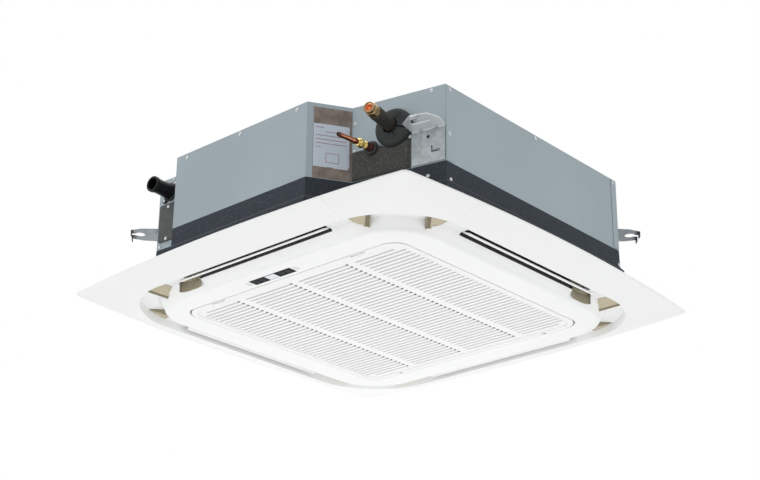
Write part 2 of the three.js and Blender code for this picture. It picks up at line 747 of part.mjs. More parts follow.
// A flare nut: a hexagon with a round collar at the mouth and one behind.
function flareNut(radius, bore, length, start, direction) {
  const collar = radius * 0.82;
  const hexStart = length * 0.2;
  const hexStop = length * 0.72;
  const body = turned([[bore, 0], [collar, 0], [collar, length], [bore, length]], 12);
  const hex = turned([[bore, hexStart], [radius, hexStart], [radius, hexStop], [bore, hexStop]], 6);
  const bored = cut(hex, post(bore, 0, 0, -1, length + 1, 12));
  const turn = new THREE.Quaternion().setFromUnitVectors(
    new THREE.Vector3(0, 0, 1),
    new THREE.Vector3(...direction).normalize(),
  );
  return join(body, bored).applyQuaternion(turn).translate(...start);
}

const LIQUID_TILT = Math.atan2(LIQUID_DRIFT, LIQUID_REACH);
const LIQUID_STRAIGHT = 12;         // the thin pipe leaves the wall square for this far

function liquidPoint(out) {
  const drift = Math.max(0, out - LIQUID_STRAIGHT) * Math.tan(LIQUID_TILT);
  return PIPE_WALL.at(LIQUID_ALONG - drift, out, LIQUID_Z);
}

const LIQUID_DIRECTION = [
  PIPE_WALL.out[0] - PIPE_WALL.along[0] * Math.tan(LIQUID_TILT),
  PIPE_WALL.out[1] - PIPE_WALL.along[1] * Math.tan(LIQUID_TILT),
  0,
];

function liquidPipe() {
  const stops = [-PIPE_INSIDE, -PIPE_INSIDE / 2, 0, LIQUID_STRAIGHT - 4, LIQUID_STRAIGHT + 6];
  for (let i = 1; i <= 3; i += 1) {
    stops.push(THREE.MathUtils.lerp(LIQUID_STRAIGHT + 6, LIQUID_REACH, i / 3));
  }
  const bore = turned([[0, -8], [LIQUID_PIPE_R - 1.2, -8], [LIQUID_PIPE_R - 1.2, 8], [0, 8]], 12);
  const turn = new THREE.Quaternion().setFromUnitVectors(
    new THREE.Vector3(0, 0, 1),
    new THREE.Vector3(...LIQUID_DIRECTION).normalize(),
  );
  bore.applyQuaternion(turn).translate(...liquidPoint(LIQUID_REACH));
  return cut(tube(stops.map(liquidPoint), LIQUID_PIPE_R, 12, 8), bore);
}

function liquidGrommet() {
  const bore = LIQUID_PIPE_R + 0.6;
  const profile = [
    [bore, GAP],
    [GROMMET_R, GAP],
    [GROMMET_R, GROMMET_DEPTH * 0.6],
    [GROMMET_R - 3, GROMMET_DEPTH],
    [bore, GROMMET_DEPTH],
  ];
  return turnedAlong(profile, PIPE_WALL.at(LIQUID_ALONG, 0, LIQUID_Z), [...PIPE_WALL.out, 0], 12);
}

// Foam sheet on the outside of the pipe wall, cut round the two pipes.
function wallFoam() {
  const panel = box(2, WALL_FOAM_LENGTH, -GAP - WALL_FOAM, -GAP, CASING_FOOT + 1, WALL_FOAM_TOP);
  return cut(
    onWall(panel, PIPE_WALL, 0),
    wallHole(PIPE_WALL, GAS_ALONG + GAS_BOSS_SIDE, GAS_Z - GAS_BOSS_DROP, GAS_BOSS_R + 2),
    wallHole(PIPE_WALL, LIQUID_ALONG, LIQUID_Z, GROMMET_R + 1),
  );
}

// The riser that gathers the coil's outlets and turns into the gas pipe.
function gasHeader() {
  const behind = (distance, z) => PIPE_WALL.at(GAS_ALONG, -PIPE_INSIDE - GAP - distance, z);
  return tube([
    behind(24, PAN_FLOOR + 26),
    behind(24, GAS_Z - 60),
    behind(24, GAS_Z - 18),
    behind(18, GAS_Z - 5),
    behind(7, GAS_Z),
    behind(0, GAS_Z),
  ], GAS_PIPE_R, 8, 8);
}

function liquidDistributor() {
  const behind = (distance, z) => PIPE_WALL.at(LIQUID_ALONG, -PIPE_INSIDE - GAP - distance, z);
  return tube([
    behind(0, LIQUID_Z),
    behind(5, LIQUID_Z),
    behind(12, LIQUID_Z - 4),
    behind(15, LIQUID_Z - 12),
    behind(15, LIQUID_Z - 30),
    behind(15, PAN_FLOOR + 30),
  ], LIQUID_PIPE_R, 8, 8);
}

const GAS_NUT_LENGTH = GAS_REACH - GAS_FOAM_END - GAP;
const LIQUID_NUT_START = 26;

add('gas_header', gasHeader(), COPPER);
add('liquid_distributor', liquidDistributor(), COPPER);
add('gas_pipe', gasPipe(), COPPER);
add('gas_insulation', gasInsulation(), BLACK);
const gasNutAt = PIPE_WALL.at(GAS_ALONG, GAS_FOAM_END + GAP, GAS_Z);
add('gas_nut', flareNut(GAS_NUT_R, GAS_PIPE_R + GAP, GAS_NUT_LENGTH, gasNutAt, [...PIPE_WALL.out, 0]), BRASS);
add('liquid_pipe', liquidPipe(), COPPER);
const liquidNut = flareNut(
  LIQUID_NUT_R,
  LIQUID_PIPE_R + GAP,
  LIQUID_NUT_LENGTH,
  liquidPoint(LIQUID_NUT_START),
  LIQUID_DIRECTION,
);
add('liquid_nut', liquidNut, BRASS);
add('liquid_grommet', liquidGrommet(), BLACK);
add('pipe_foam', wallFoam(), SLATE);

// ---------------------------------------------------------------- drain
function drainSocket() {
  const profile = [
    [DRAIN_BORE_R, -12],
    [DRAIN_R - 2, -12],
    [DRAIN_R - 2, GAP],
    [DRAIN_FLANGE_R, GAP],
    [DRAIN_FLANGE_R, 4],
    [DRAIN_R, 4],
    [DRAIN_R, DRAIN_REACH - 8],
    [DRAIN_R + 1.5, DRAIN_REACH - 6],
    [DRAIN_R + 1.5, DRAIN_REACH],
    [DRAIN_BORE_R, DRAIN_REACH],
  ];
  return turnedAlong(profile, DRAIN_WALL.at(DRAIN_ALONG, 0, DRAIN_Z), [...DRAIN_WALL.out, 0], 14);
}

const PUMP_BOTTOM = CASING_FOOT + GAP;
const PUMP_TOP = PUMP_BOTTOM + PUMP_HEIGHT;

function drainPump() {
  const inlet = PUMP_BOTTOM - 14;
  const profile = [
    [0, inlet],
    [7, inlet],
    [7, PUMP_BOTTOM],
    [PUMP_R, PUMP_BOTTOM],
    [PUMP_R, PUMP_BOTTOM + 30],
    [PUMP_R - 4, PUMP_BOTTOM + 34],
    [PUMP_R - 4, PUMP_TOP - 4],
    [PUMP_R - 8, PUMP_TOP],
    [0, PUMP_TOP],
  ];
  return turned(profile, 12).translate(-PUMP_AT, -PUMP_AT, 0);
}

// A strap that hangs the pump from the lid, with the stem that guides the float.
function pumpBracket() {
  const low = PUMP_TOP + GAP;
  const deck = box(-28, 28, -14, 14, low, low + 2).rotateZ(-Math.PI / 4).translate(-PUMP_AT, -PUMP_AT, 0);
  const arm = box(FLOAT_X - 5, -PUMP_AT, FLOAT_Y - 5, FLOAT_Y + 5, low, low + 2);
  const strap = box(-9, 9, -1, 1, low, BODY_TOP - SHEET).rotateZ(-Math.PI / 4).translate(-PUMP_AT - 6, -PUMP_AT - 6, 0);
  const stemFoot = CASING_FOOT - SUMP_DEPTH + 6;
  const stem = post(FLOAT_STEM_R, FLOAT_X, FLOAT_Y, stemFoot, low + 1, 10);
  const stop = post(FLOAT_STEM_R + 3, FLOAT_X, FLOAT_Y, stemFoot, stemFoot + 2, 10);
  return join(deck, arm, strap, stem, stop);
}

function floatRing() {
  const foot = CASING_FOOT - SUMP_DEPTH + 6 + 2 + GAP;
  const bore = FLOAT_STEM_R + 0.5;
  const top = foot + FLOAT_HEIGHT;
  return turned([
    [bore, foot],
    [FLOAT_R - 2, foot],
    [FLOAT_R, foot + 2],
    [FLOAT_R, top - 2],
    [FLOAT_R - 2, top],
    [bore, top],
  ], 10).translate(FLOAT_X, FLOAT_Y, 0);
}

// From the pump's shoulder to the inner end of the drain socket.
function drainHose() {
  const inside = (distance) => DRAIN_WALL.at(DRAIN_ALONG, -12 - GAP - distance, DRAIN_Z);
  const rise = (step, z) => DRAIN_WALL.at(DRAIN_ALONG, step - HOSE_RISE_IN, z);
  const run = PUMP_BOTTOM + 52;
  const hose = tube([
    [-PUMP_AT + 14, -PUMP_AT - 14, run],
    [-PUMP_AT + 26, -PUMP_AT - 24, run + 5],
    rise(0, run + 24),
    rise(0, DRAIN_Z - 18),
    rise(3, DRAIN_Z - 7),
    inside(11),
    inside(1),
  ], HOSE_R, 10, 8);
  const profile = [[0, -CUFF_LENGTH], [CUFF_R, -CUFF_LENGTH], [CUFF_R, 0], [0, 0]];
  const cuff = turnedAlong(profile, inside(0), [...DRAIN_WALL.out, 0], 12);
  return join(hose, cuff);
}

function pumpCover() {
  const foot = CASING_FOOT + COVER_LIFT;
  const head = DRAIN_Z - DRAIN_FLANGE_R - COVER_DROP;
  return onWall(box(COVER_START, COVER_END, -GAP - COVER_THICKNESS, -GAP, foot, head), DRAIN_WALL, 0);
}

add('drain_socket', drainSocket(), BLACK);
add('drain_pump', drainPump(), WHITE);
add('pump_bracket', pumpBracket(), ZINC);
add('float_ring', floatRing(), WHITE);
add('drain_hose', drainHose(), GREY_FOAM);
add('pump_cover', pumpCover(), BLACK);

// ---------------------------------------------------------------- fan
const MOTOR_TOP = BODY_TOP - SHEET;
const MOTOR_BOTTOM = MOTOR_TOP - MOTOR_HEIGHT;

// The motor can with four feet under the lid.
function fanMotor() {
  const can = turned([
    [0, MOTOR_BOTTOM],
    [MOTOR_R - 30, MOTOR_BOTTOM],
    [MOTOR_R - 26, MOTOR_BOTTOM + 5],
    [MOTOR_R - 6, MOTOR_BOTTOM + 5],
    [MOTOR_R, MOTOR_BOTTOM + 12],
    [MOTOR_R, MOTOR_TOP - 16],
    [MOTOR_R - 8, MOTOR_TOP - 8],
    [0, MOTOR_TOP - 8],
  ], 20);
  const feet = [];
  for (let i = 0; i < MOTOR_FEET; i += 1) {
    const turn = Math.PI / 4 + (i * 2 * Math.PI) / MOTOR_FEET;
    const arm = box(MOTOR_R - 14, MOTOR_FOOT_REACH, -9, 9, MOTOR_TOP - 14, MOTOR_TOP - 9);
    const cushion = post(10, MOTOR_FOOT_REACH - 4, 0, MOTOR_TOP - 16, MOTOR_TOP, 6);
    feet.push(join(arm, cushion).rotateZ(turn));
  }
  return join(can, ...feet);
}

function motorShaft() {
  const top = MOTOR_BOTTOM - GAP;
  const bottom = top - SHAFT_LENGTH;
  return turned([[0, bottom], [SHAFT_R - 1, bottom], [SHAFT_R, bottom + 1], [SHAFT_R, top], [0, top]], 12);
}

// One backward-curved blade, seen from below the plate.
function bladeOutline(start) {
  const steps = 4;
  const sweep = THREE.MathUtils.degToRad(BLADE_SWEEP);
  const front = [];
  const rear = [];
  for (let i = 0; i <= steps; i += 1) {
    const t = i / steps;
    const radius = THREE.MathUtils.lerp(BLADE_INNER_R, IMPELLER_R - 1, t);
    const turn = start - sweep * t ** 1.3;
    const belly = BLADE_THICKNESS * (0.45 + 0.55 * Math.sin(Math.PI * t)) / 2;
    const half = belly / radius;
    front.push([radius * Math.cos(turn + half * 1.6), radius * Math.sin(turn + half * 1.6)]);
    rear.unshift([radius * Math.cos(turn - half * 1.6), radius * Math.sin(turn - half * 1.6)]);
  }
  return [...front, ...rear];
}

// The turbo impeller: a domed hub that clears the motor, a back plate,
// backward-curved blades and the shroud ring whose eye takes the bell mouth.
function impeller() {
  const wall = IMPELLER_WALL;
  const plate = turned([
    [SHAFT_R + GAP, HUB_BOTTOM_Z],
    [HUB_R, HUB_BOTTOM_Z],
    [HUB_R, HUB_FLOOR_Z - wall],
    [DOME_R - 10, HUB_FLOOR_Z - wall],
    [DOME_R, HUB_FLOOR_Z + 6],
    [DOME_R + 10, IMPELLER_PLATE_Z - 10],
    [DOME_R + 20, IMPELLER_PLATE_Z - wall],
    [IMPELLER_R, IMPELLER_PLATE_Z - wall],
    [IMPELLER_R, IMPELLER_PLATE_Z],
    [DOME_R + 18, IMPELLER_PLATE_Z],
    [DOME_R + 10 - wall, IMPELLER_PLATE_Z - 8],
    [DOME_R - wall, HUB_FLOOR_Z + 8],
    [DOME_R - 12, HUB_FLOOR_Z],
    [SHAFT_R + GAP, HUB_FLOOR_Z],
  ], 24);
  const shroud = turned([
    [SHROUD_EYE_R, SHROUD_EYE_Z],
    [SHROUD_EYE_R + wall, SHROUD_EYE_Z],
    [SHROUD_EYE_R + wall + 2, SHROUD_EYE_Z + 12],
    [SHROUD_EYE_R + 12, SHROUD_EYE_Z + 21],
    [IMPELLER_R, SHROUD_RIM_Z - wall],
    [IMPELLER_R, SHROUD_RIM_Z],
    [SHROUD_EYE_R + 10, SHROUD_EYE_Z + 23.5],
    [SHROUD_EYE_R + 2, SHROUD_EYE_Z + 14],
  ], 24);
  const envelope = turned([
    [BLADE_INNER_R - 4, SHROUD_EYE_Z + 34],
    [SHROUD_EYE_R - 10, SHROUD_EYE_Z + 16],
    [SHROUD_EYE_R + 3.5, SHROUD_EYE_Z + 14],
    [SHROUD_EYE_R + 11, SHROUD_EYE_Z + 22],
    [IMPELLER_R + 2, SHROUD_RIM_Z - wall / 2],
    [IMPELLER_R + 2, IMPELLER_PLATE_Z - wall / 2],
    [BLADE_INNER_R - 4, IMPELLER_PLATE_Z - wall / 2],
  ], 24);
  const blades = [];
  for (let i = 0; i < IMPELLER_BLADES; i += 1) {
    const outline = bladeOutline((i * 2 * Math.PI) / IMPELLER_BLADES);
    blades.push(common(slab(outline, SHROUD_EYE_Z, IMPELLER_PLATE_Z), envelope));
  }
  return join(plate, shroud, ...blades);
}

function fanNut() {
  const top = HUB_BOTTOM_Z - GAP;
  const nut = turned([[SHAFT_R + GAP, top - 9], [13, top - 9], [13, top], [SHAFT_R + GAP, top]], 6);
  return cut(nut, post(SHAFT_R + GAP, 0, 0, top - 12, top + 3, 12));
}

// The bell mouth guides the air from the filter into the impeller's eye.
function bellMouth() {
  const low = PAN_BOTTOM - GAP - BELL_WALL;
  const high = PAN_BOTTOM - GAP;
  const throat = BELL_THROAT_R;
  const flange = IMPELLER_R + PAN_CLEARANCE + BELL_SEAT;
  const wall = BELL_WALL;
  return turned([
    [flange, low],
    [flange, high],
    [throat + 34, high],
    [throat + 14 + wall, high + 12],
    [throat + 2 + wall, high + 36],
    [throat + wall, SHROUD_EYE_Z + 4],
    [throat, SHROUD_EYE_Z + 4],
    [throat + 2, high + 35],
    [throat + 14, high + 10],
    [throat + 34, low],
  ], 24);
}

const CONTROL_OUT = FILTER_HALF + 16;
const CONTROL_IN = CONTROL_OUT - CONTROL_WIDTH;

// Tray of the electric box beside the bell mouth, open below.
function controlBox() {
  const top = PAN_BOTTOM - 2 * GAP - BELL_WALL;
  const bottom = top - CONTROL_DEPTH;
  const block = box(-CONTROL_OUT, -CONTROL_IN, -CONTROL_HALF, CONTROL_HALF, bottom, top);
  const wall = 2;
  return cut(block, box(
    -CONTROL_OUT + wall,
    -CONTROL_IN - wall,
    -CONTROL_HALF + wall,
    CONTROL_HALF - wall,
    bottom - 1,
    top - wall,
  ));
}

function controlLid() {
  const top = PAN_BOTTOM - 3 * GAP - BELL_WALL - CONTROL_DEPTH;
  const low = top - SHEET;
  const lid = box(-CONTROL_OUT - 1, -CONTROL_IN + 1, -CONTROL_HALF - 1, CONTROL_HALF + 1, low, top);
  const ear = box(-CONTROL_OUT + 24, -CONTROL_IN - 24, CONTROL_HALF, CONTROL_HALF + 12, low, top);
  return join(lid, ear);
}

add('fan_motor', fanMotor(), ZINC);
add('motor_shaft', motorShaft(), STEEL);
add('impeller', impeller(), WHITE);
add('fan_nut', fanNut(), STEEL);
add('bell_mouth', bellMouth(), WHITE);
add('control_box', controlBox(), ZINC);
add('control_box_lid', controlLid(), ZINC);

// ---------------------------------------------------------------- hangers
// The plate and bent tab of a hanger, drawn with X along the wall and -Y out of it.
function hangerPlate(width) {
  const plate = box(0, width, -GAP - HANGER_SHEET, -GAP, CASING_FOOT + 2, HANGER_Z);
  const hole = post(HANGER_HOLE_R, 0, 0, -10, 10, 6).rotateX(Math.PI / 2);
  return cut(plate, hole.translate(width / 2, 0, HANGER_Z - HANGER_HOLE_DROP));
}

// Tab of the three plain hangers: a C that is open outwards, its two finger ends bent down.
function openHanger() {
  const middle = HANGER_WIDTH / 2;
  const low = HANGER_Z - HANGER_SHEET;
  const tabOutline = [
    [2, -GAP],
    [4, -HANGER_REACH * 0.62],
    [middle - 21, -HANGER_REACH],
    [middle + 21, -HANGER_REACH],
    [HANGER_WIDTH - 4, -HANGER_REACH * 0.62],
    [HANGER_WIDTH - 2, -GAP],
  ];
  const mouth = HANGER_BOLT_SLOT / 2;
  const eye = post(HANGER_EYE_R, middle, -HANGER_BOLT_OUT, low - 5, HANGER_Z + 5, 12);
  const way = box(middle - mouth, middle + mouth, -HANGER_REACH - 5, -HANGER_BOLT_OUT, low - 5, HANGER_Z + 5);
  const tab = cut(slab(tabOutline, low, HANGER_Z), eye, way);
  const tipOut = -HANGER_REACH;
  const finger = box(middle - 20, middle - mouth - 1.5, tipOut, tipOut + HANGER_SHEET, low - HANGER_FINGER_DROP, HANGER_Z);
  const finger2 = box(middle + mouth + 1.5, middle + 20, tipOut, tipOut + HANGER_SHEET, low - HANGER_FINGER_DROP, HANGER_Z);
  return join(hangerPlate(HANGER_WIDTH), tab, finger, finger2);
}

// Tab of the hanger beside the pipes: its slot runs along the wall and opens to one side.
function slottedHanger() {
  const low = HANGER_Z - HANGER_SHEET;
  const slotOut = 35;
  const slotStart = 21;
  const slotStop = 49;
  const half = HANGER_BOLT_SLOT / 2;
  const tab = slab([
    [0, -GAP],
    [1, -40],
    [27, -HANGER_REACH],
    [60, -57],
    [73, -33],
    [HANGER_WIDTH, -GAP],
  ], low, HANGER_Z);
  const tall = [low - 5, HANGER_Z + 5];
  const slot = box(slotStart, slotStop, -slotOut - half, -slotOut + half, ...tall);
  const mouth = box(-half, half, -30, 0, ...tall).rotateZ(Math.PI / 5).translate(slotStart, -slotOut, 0);
  const ends = [slotStart, slotStop].map((x) => post(half, x, -slotOut, ...tall, 12));
  const tip = box(28, 42, -HANGER_REACH + 0.4, -HANGER_REACH + 2.4, low - HANGER_FINGER_DROP, HANGER_Z);
  return join(hangerPlate(HANGER_WIDTH), cut(tab, slot, mouth, ...ends), tip);
}

const plainHangers = {
  hanger_left: ['drainStart', 'drainKnee'],
  hanger_right: ['rightStart', 'rightKnee'],
  hanger_far: ['farKnee', 'farEnd'],
};
add('hanger_near', onWall(slottedHanger(), PIPE_WALL, PIPE_HANGER_START), ZINC);
for (const [name, [from, to]] of Object.entries(plainHangers)) {
  const wall = wallFrame(from, to);
  add(name, onWall(openHanger(), wall, (wall.length - HANGER_WIDTH) / 2), ZINC);
}

// ---------------------------------------------------------------- panel
const rim = (inset, z) => atHeight(roundedSquare(PANEL_HALF - inset, PANEL_CORNER_R, PANEL_BOW * (1 - inset / 60)), z);
const lip = (grow, z) => atHeight(roundedSquare(LIP_HALF + grow, LIP_CORNER_R + grow), z);
const island = (half, z) => atHeight(roundedSquare(half, LIP_CORNER_R - (LIP_HALF - half)), z);
const mouthRing = (grow, z) => atHeight(roundedSquare(GRILLE_HALF + GRILLE_GAP + grow, GRILLE_CORNER_R + grow), z);

// A ring part of the way from the inner lip to the rim, on the gently crowned underside.
function flangeRing(share, z) {
  const inner = roundedSquare(LIP_HALF + 3, LIP_CORNER_R + 3);
  const outer = roundedSquare(PANEL_HALF, PANEL_CORNER_R, PANEL_BOW);
  return inner.map(([x, y], i) => [
    x + (outer[i][0] - x) * share,
    y + (outer[i][1] - y) * share,
    z,
  ]);
}

const FLANGE_MID_Z = -15.5;

function panelRings() {
  const roofTop = ROOF_Z + ROOF_WALL;
  const islandTop = ISLAND_Z + ISLAND_WALL;
  return [
    rim(0, 0),
    rim(0, -RIM_DEPTH),
    flangeRing(0.5, FLANGE_MID_Z),
    lip(3, LIP_Z),
    lip(-0.5, LIP_Z + 1.5),
    lip(-3, ROOF_Z - 3),
    lip(ROOF_OUTER - LIP_HALF - 4, ROOF_Z),
    island(ROOF_INNER + 4, ROOF_Z),
    island(ROOF_INNER, ROOF_Z - 2),
    island(ISLAND_HALF, ISLAND_Z + ISLAND_ROUND),
    island(ISLAND_HALF - ISLAND_ROUND, ISLAND_Z),
    mouthRing(1.5, ISLAND_Z),
    mouthRing(0, ISLAND_Z + 1.5),
    mouthRing(0, ISLAND_Z + LIP_HEIGHT),
    mouthRing(ISLAND_WALL, ISLAND_Z + LIP_HEIGHT),
    mouthRing(ISLAND_WALL, islandTop),
    island(ISLAND_HALF - ISLAND_ROUND, islandTop),
    island(ROOF_INNER - ISLAND_WALL - 1, roofTop),
    lip(1, roofTop),
    lip(4.5, roofTop - 5),
    lip(7, LIP_Z + 7),
    flangeRing(0.5, FLANGE_MID_Z + 6),
    flangeRing(0.93, 0),
  ];
}

// The outer skin of the frame, thick enough for a corner cover.
function skin(depth, below) {
  return hoop([
    rim(0.4, -RIM_DEPTH + depth),
    rim(0.4, -RIM_DEPTH - below),
    flangeRing(0.5, FLANGE_MID_Z - below),
    lip(3, LIP_Z - below),
    lip(3, LIP_Z + depth + 0.4),
    flangeRing(0.5, FLANGE_MID_Z + depth),
  ]);
}

const cornerBlock = (seam) => {
  const reach = PANEL_HALF + PANEL_BOW;
  return box(seam, reach, -reach, -seam, 2 * ISLAND_Z, PAN_BOTTOM);
};

function louvreLug(x) {
  const block = box(x, x + LOUVRE_LUG, -LOUVRE_AXIS_OUT - 5, -LOUVRE_AXIS_OUT + 5, ROOF_Z + ROOF_WALL - 0.5, LOUVRE_AXIS_Z + 4.5);
  return cut(block, pinX(LOUVRE_PIN_R + GAP, x - 2, x + LOUVRE_LUG + 2, -LOUVRE_AXIS_OUT, LOUVRE_AXIS_Z));
}

const LUG_START = SLOT_HALF + 2;

// An opening in the channel beside the bridge at a corner. It follows the bridge's straight side
// and the corner's arc, and its foot may climb from one height beside the bridge to another.
function cornerOpening(side, endDegrees, foot, footEnd, top) {
  const centre = LIP_HALF - LIP_CORNER_R;
  const near = ISLAND_HALF + 1 - centre;
  const far = ROOF_OUTER + 1 - centre;
  const steps = 2;
  const outer = [];
  const inner = [];
  for (let i = 0; i <= steps; i += 1) {
    const z = THREE.MathUtils.lerp(foot, footEnd, i / steps);
    const at = (radius) => {
      const start = Math.asin(BRIDGE_HALF / radius);
      const angle = THREE.MathUtils.lerp(start, THREE.MathUtils.degToRad(endDegrees), i / steps);
      const turn = side * angle - Math.PI / 4;
      return [centre + radius * Math.cos(turn), -centre + radius * Math.sin(turn), z];
    };
    outer.push(at(far));
    inner.unshift(at(near));
  }
  const ring = [...outer, ...inner];
  if (side < 0) ring.reverse();
  return taper([ring, ring.map(([x, y]) => [x, y, top])]);
}

function scoop(z0, z1) {
  const geometry = new THREE.CylinderGeometry(1, 1, z1 - z0, 12).rotateX(Math.PI / 2);
  geometry.scale(SCOOP_HALF_LENGTH, SCOOP_HALF_WIDTH, 1);
  return geometry.translate(-SLOT_HALF, -SCOOP_OUT, (z0 + z1) / 2);
}

// Which end of each louvre has the motor and the scoop: the end away from the pipe corner.
const MOTOR_ENDS = [-1, 1, 1, -1];

const sideCopies = (make) => [0, 1, 2, 3].map((side) => {
  const geometry = make(side);
  if (MOTOR_ENDS[side] > 0) geometry.scale(-1, 1, 1);
  return outward(plain(geometry)).rotateZ((side * Math.PI) / 2);
});

const hingeZ = ISLAND_Z + 3;
const hingeY = GRILLE_HALF - HINGE_INSET;

// An ear on the rear upstand of the grille opening, bored for the grille's pin.
function hingeEar(x) {
  const reach = 4.2;
  const ear = box(x - HINGE_EAR / 2, x + HINGE_EAR / 2, hingeY - reach, GRILLE_HALF + GRILLE_GAP + 1.5, hingeZ - 2.4, hingeZ + 5);
  return cut(ear, pinX(HINGE_PIN_R + GAP, x - 6, x + 6, hingeY, hingeZ));
}

function latchWindow(x) {
  const z = ISLAND_Z + GRILLE_DEPTH + 1.8;
  const outer = GRILLE_HALF + GRILLE_GAP + ISLAND_WALL + 2;
  return box(x - 8, x + 8, -outer, -GRILLE_HALF + 2, z - 1.4, z + 3.6);
}

function displayRecess() {
  const half = DISPLAY_LENGTH / 2 + GAP;
  return box(
    DISPLAY_CENTRE_X - half,
    DISPLAY_CENTRE_X + half,
    -DISPLAY_OUT - DISPLAY_WIDTH / 2 - GAP,
    -DISPLAY_OUT + DISPLAY_WIDTH / 2 + GAP,
    ISLAND_Z - 5,
    ISLAND_Z + DISPLAY_DEPTH,
  );
}

function panelFrame() {
  const slot = box(-SLOT_HALF, SLOT_HALF, -SLOT_OUTER, -SLOT_INNER, ROOF_Z - SLOT_DIP, 20);
  const openings = [-1, 1].map((side) => (
    cornerOpening(side, CORNER_OPENING_END, ISLAND_Z + ISLAND_ROUND + 1, ROOF_Z - 1, 20)
  ));
  const covers = common(skin(COVER_SKIN + 0.2, 3), cornerBlock(COVER_SEAM - GAP));
  const body = cut(
    hoop(panelRings()),
    ...turnedQuarters(slot),
    ...turnedQuarters(openings[0]),
    ...turnedQuarters(openings[1]),
    ...sideCopies(() => scoop(ISLAND_Z + ISLAND_ROUND, 20)),
    ...turnedQuarters(covers),
    latchWindow(-LATCH_X),
    latchWindow(LATCH_X),
    displayRecess(),
  );
  const lugs = [-LUG_START - LOUVRE_LUG, LUG_START].map(louvreLug);
  return join(
    body,
    ...turnedQuarters(lugs[0]),
    ...turnedQuarters(lugs[1]),
    hingeEar(-HINGE_X),
    hingeEar(HINGE_X),
  );
}

add('panel_frame', panelFrame(), WHITE);

const coverNames = ['corner_cover_near', 'corner_cover_right', 'corner_cover_far', 'corner_cover_left'];
turnedQuarters(common(skin(COVER_SKIN, 0), cornerBlock(COVER_SEAM))).forEach((geometry, i) => {
  add(coverNames[i], geometry, WHITE);
});

// Cream foam liner above the channel: it forms the outlet throats and shows in the openings.
function outletLiner() {
  const low = ROOF_Z + ROOF_WALL + GAP;
  const high = PAN_BOTTOM - GAP;
  const ring = hoop([
    island(LINER_INNER, low),
    lip(LINER_OUTER - LIP_HALF - 1.5, low),
    lip(LINER_OUTER - LIP_HALF - 1.5, high),
    island(LINER_INNER, high),
  ]);
  const throat = box(-SLOT_HALF - 36, SLOT_HALF + 36, -LINER_OUTER + 4, -SLOT_INNER - 1, low - 5, high + 5);
  const wide = box(-DUCT_HALF - 8, DUCT_HALF + 8, -LINER_OUTER + 4, -SLOT_INNER + 2, low - 5, high + 5);
  const pockets = [-1, 1].map((side) => (
    cornerOpening(side, CORNER_OPENING_END - POCKET_STOP, low - 5, low - 5, high - 4)
  ));
  return cut(
    ring,
    ...turnedQuarters(throat),
    ...turnedQuarters(wide),
    ...turnedQuarters(pockets[0]),
    ...turnedQuarters(pockets[1]),
  );
}

add('outlet_liner', outletLiner(), CREAM);

// ---------------------------------------------------------------- louvres
// Drawn closed about its own axis, then opened to the angle that it rests at.
function louvre() {
  const half = SLOT_HALF - LOUVRE_END_GAP;
  const crown = 1.2;
  const t = LOUVRE_THICKNESS / 2;
  const top = [];
  const bottom = [];
  const steps = 5;
  for (let i = 0; i <= steps; i += 1) {
    const share = i / steps;
    const y = LOUVRE_BACK - (LOUVRE_BACK + LOUVRE_REACH) * share;
    const z = -LOUVRE_DROP - crown * Math.sin(Math.PI * share);
    const thin = t * (1 - 0.45 * share);
    top.push([y, z + thin]);
    bottom.unshift([y, z - thin]);
  }
  const section = shapeOf([...top, ...bottom]);
  const blade = new THREE.ExtrudeGeometry(section, { depth: 2 * half, bevelEnabled: false });
  blade.applyMatrix4(new THREE.Matrix4().set(
    0, 0, 1, -half,
    1, 0, 0, 0,
    0, 1, 0, 0,
    0, 0, 0, 1,
  ));
  const arm = 3;
  const reach = LUG_START + LOUVRE_LUG - 1;
  const pieces = [];
  for (const sign of [-1, 1]) {
    pieces.push(box(sign * half, sign * (half - arm), -4, 4, -LOUVRE_DROP, 2.5));
    pieces.push(pinX(LOUVRE_PIN_R, sign * (half - 1), sign * reach, 0, 0));
  }
  return join(outward(plain(blade)), ...pieces);
}

const louvreNames = ['louvre_left', 'louvre_right', 'louvre_rear', 'louvre_back'];
const motorNames = ['louvre_motor_left', 'louvre_motor_right', 'louvre_motor_rear', 'louvre_motor_back'];

louvreNames.forEach((name, side) => {
  const carrier = new THREE.Group();
  carrier.rotation.z = (side * Math.PI) / 2;
  const hinge = new THREE.Group();
  hinge.position.set(0, -LOUVRE_AXIS_OUT, LOUVRE_AXIS_Z);
  hinge.rotation.x = THREE.MathUtils.degToRad(LOUVRE_REST);
  const blade = add(name, louvre(), WHITE);
  hinge.add(blade);
  carrier.add(hinge);
  cassette.add(carrier);
});

// A flat stepper motor on the channel roof, its shaft in line with the louvre's pin.
function louvreMotor() {
  const start = LUG_START + LOUVRE_LUG + GAP;
  const low = ROOF_Z + ROOF_WALL + GAP;
  const top = PAN_BOTTOM - 2 * GAP;
  const can = box(-start - MOTOR_CAN, -start, -LOUVRE_AXIS_OUT - 8, -LOUVRE_AXIS_OUT + 8, low, top);
  const flange = box(-start - 3, -start - 1, -LOUVRE_AXIS_OUT - 11, -LOUVRE_AXIS_OUT + 10.5, low, low + 9);
  return join(can, flange);
}

sideCopies(louvreMotor).forEach((geometry, side) => {
  add(motorNames[side], geometry, STEEL);
});

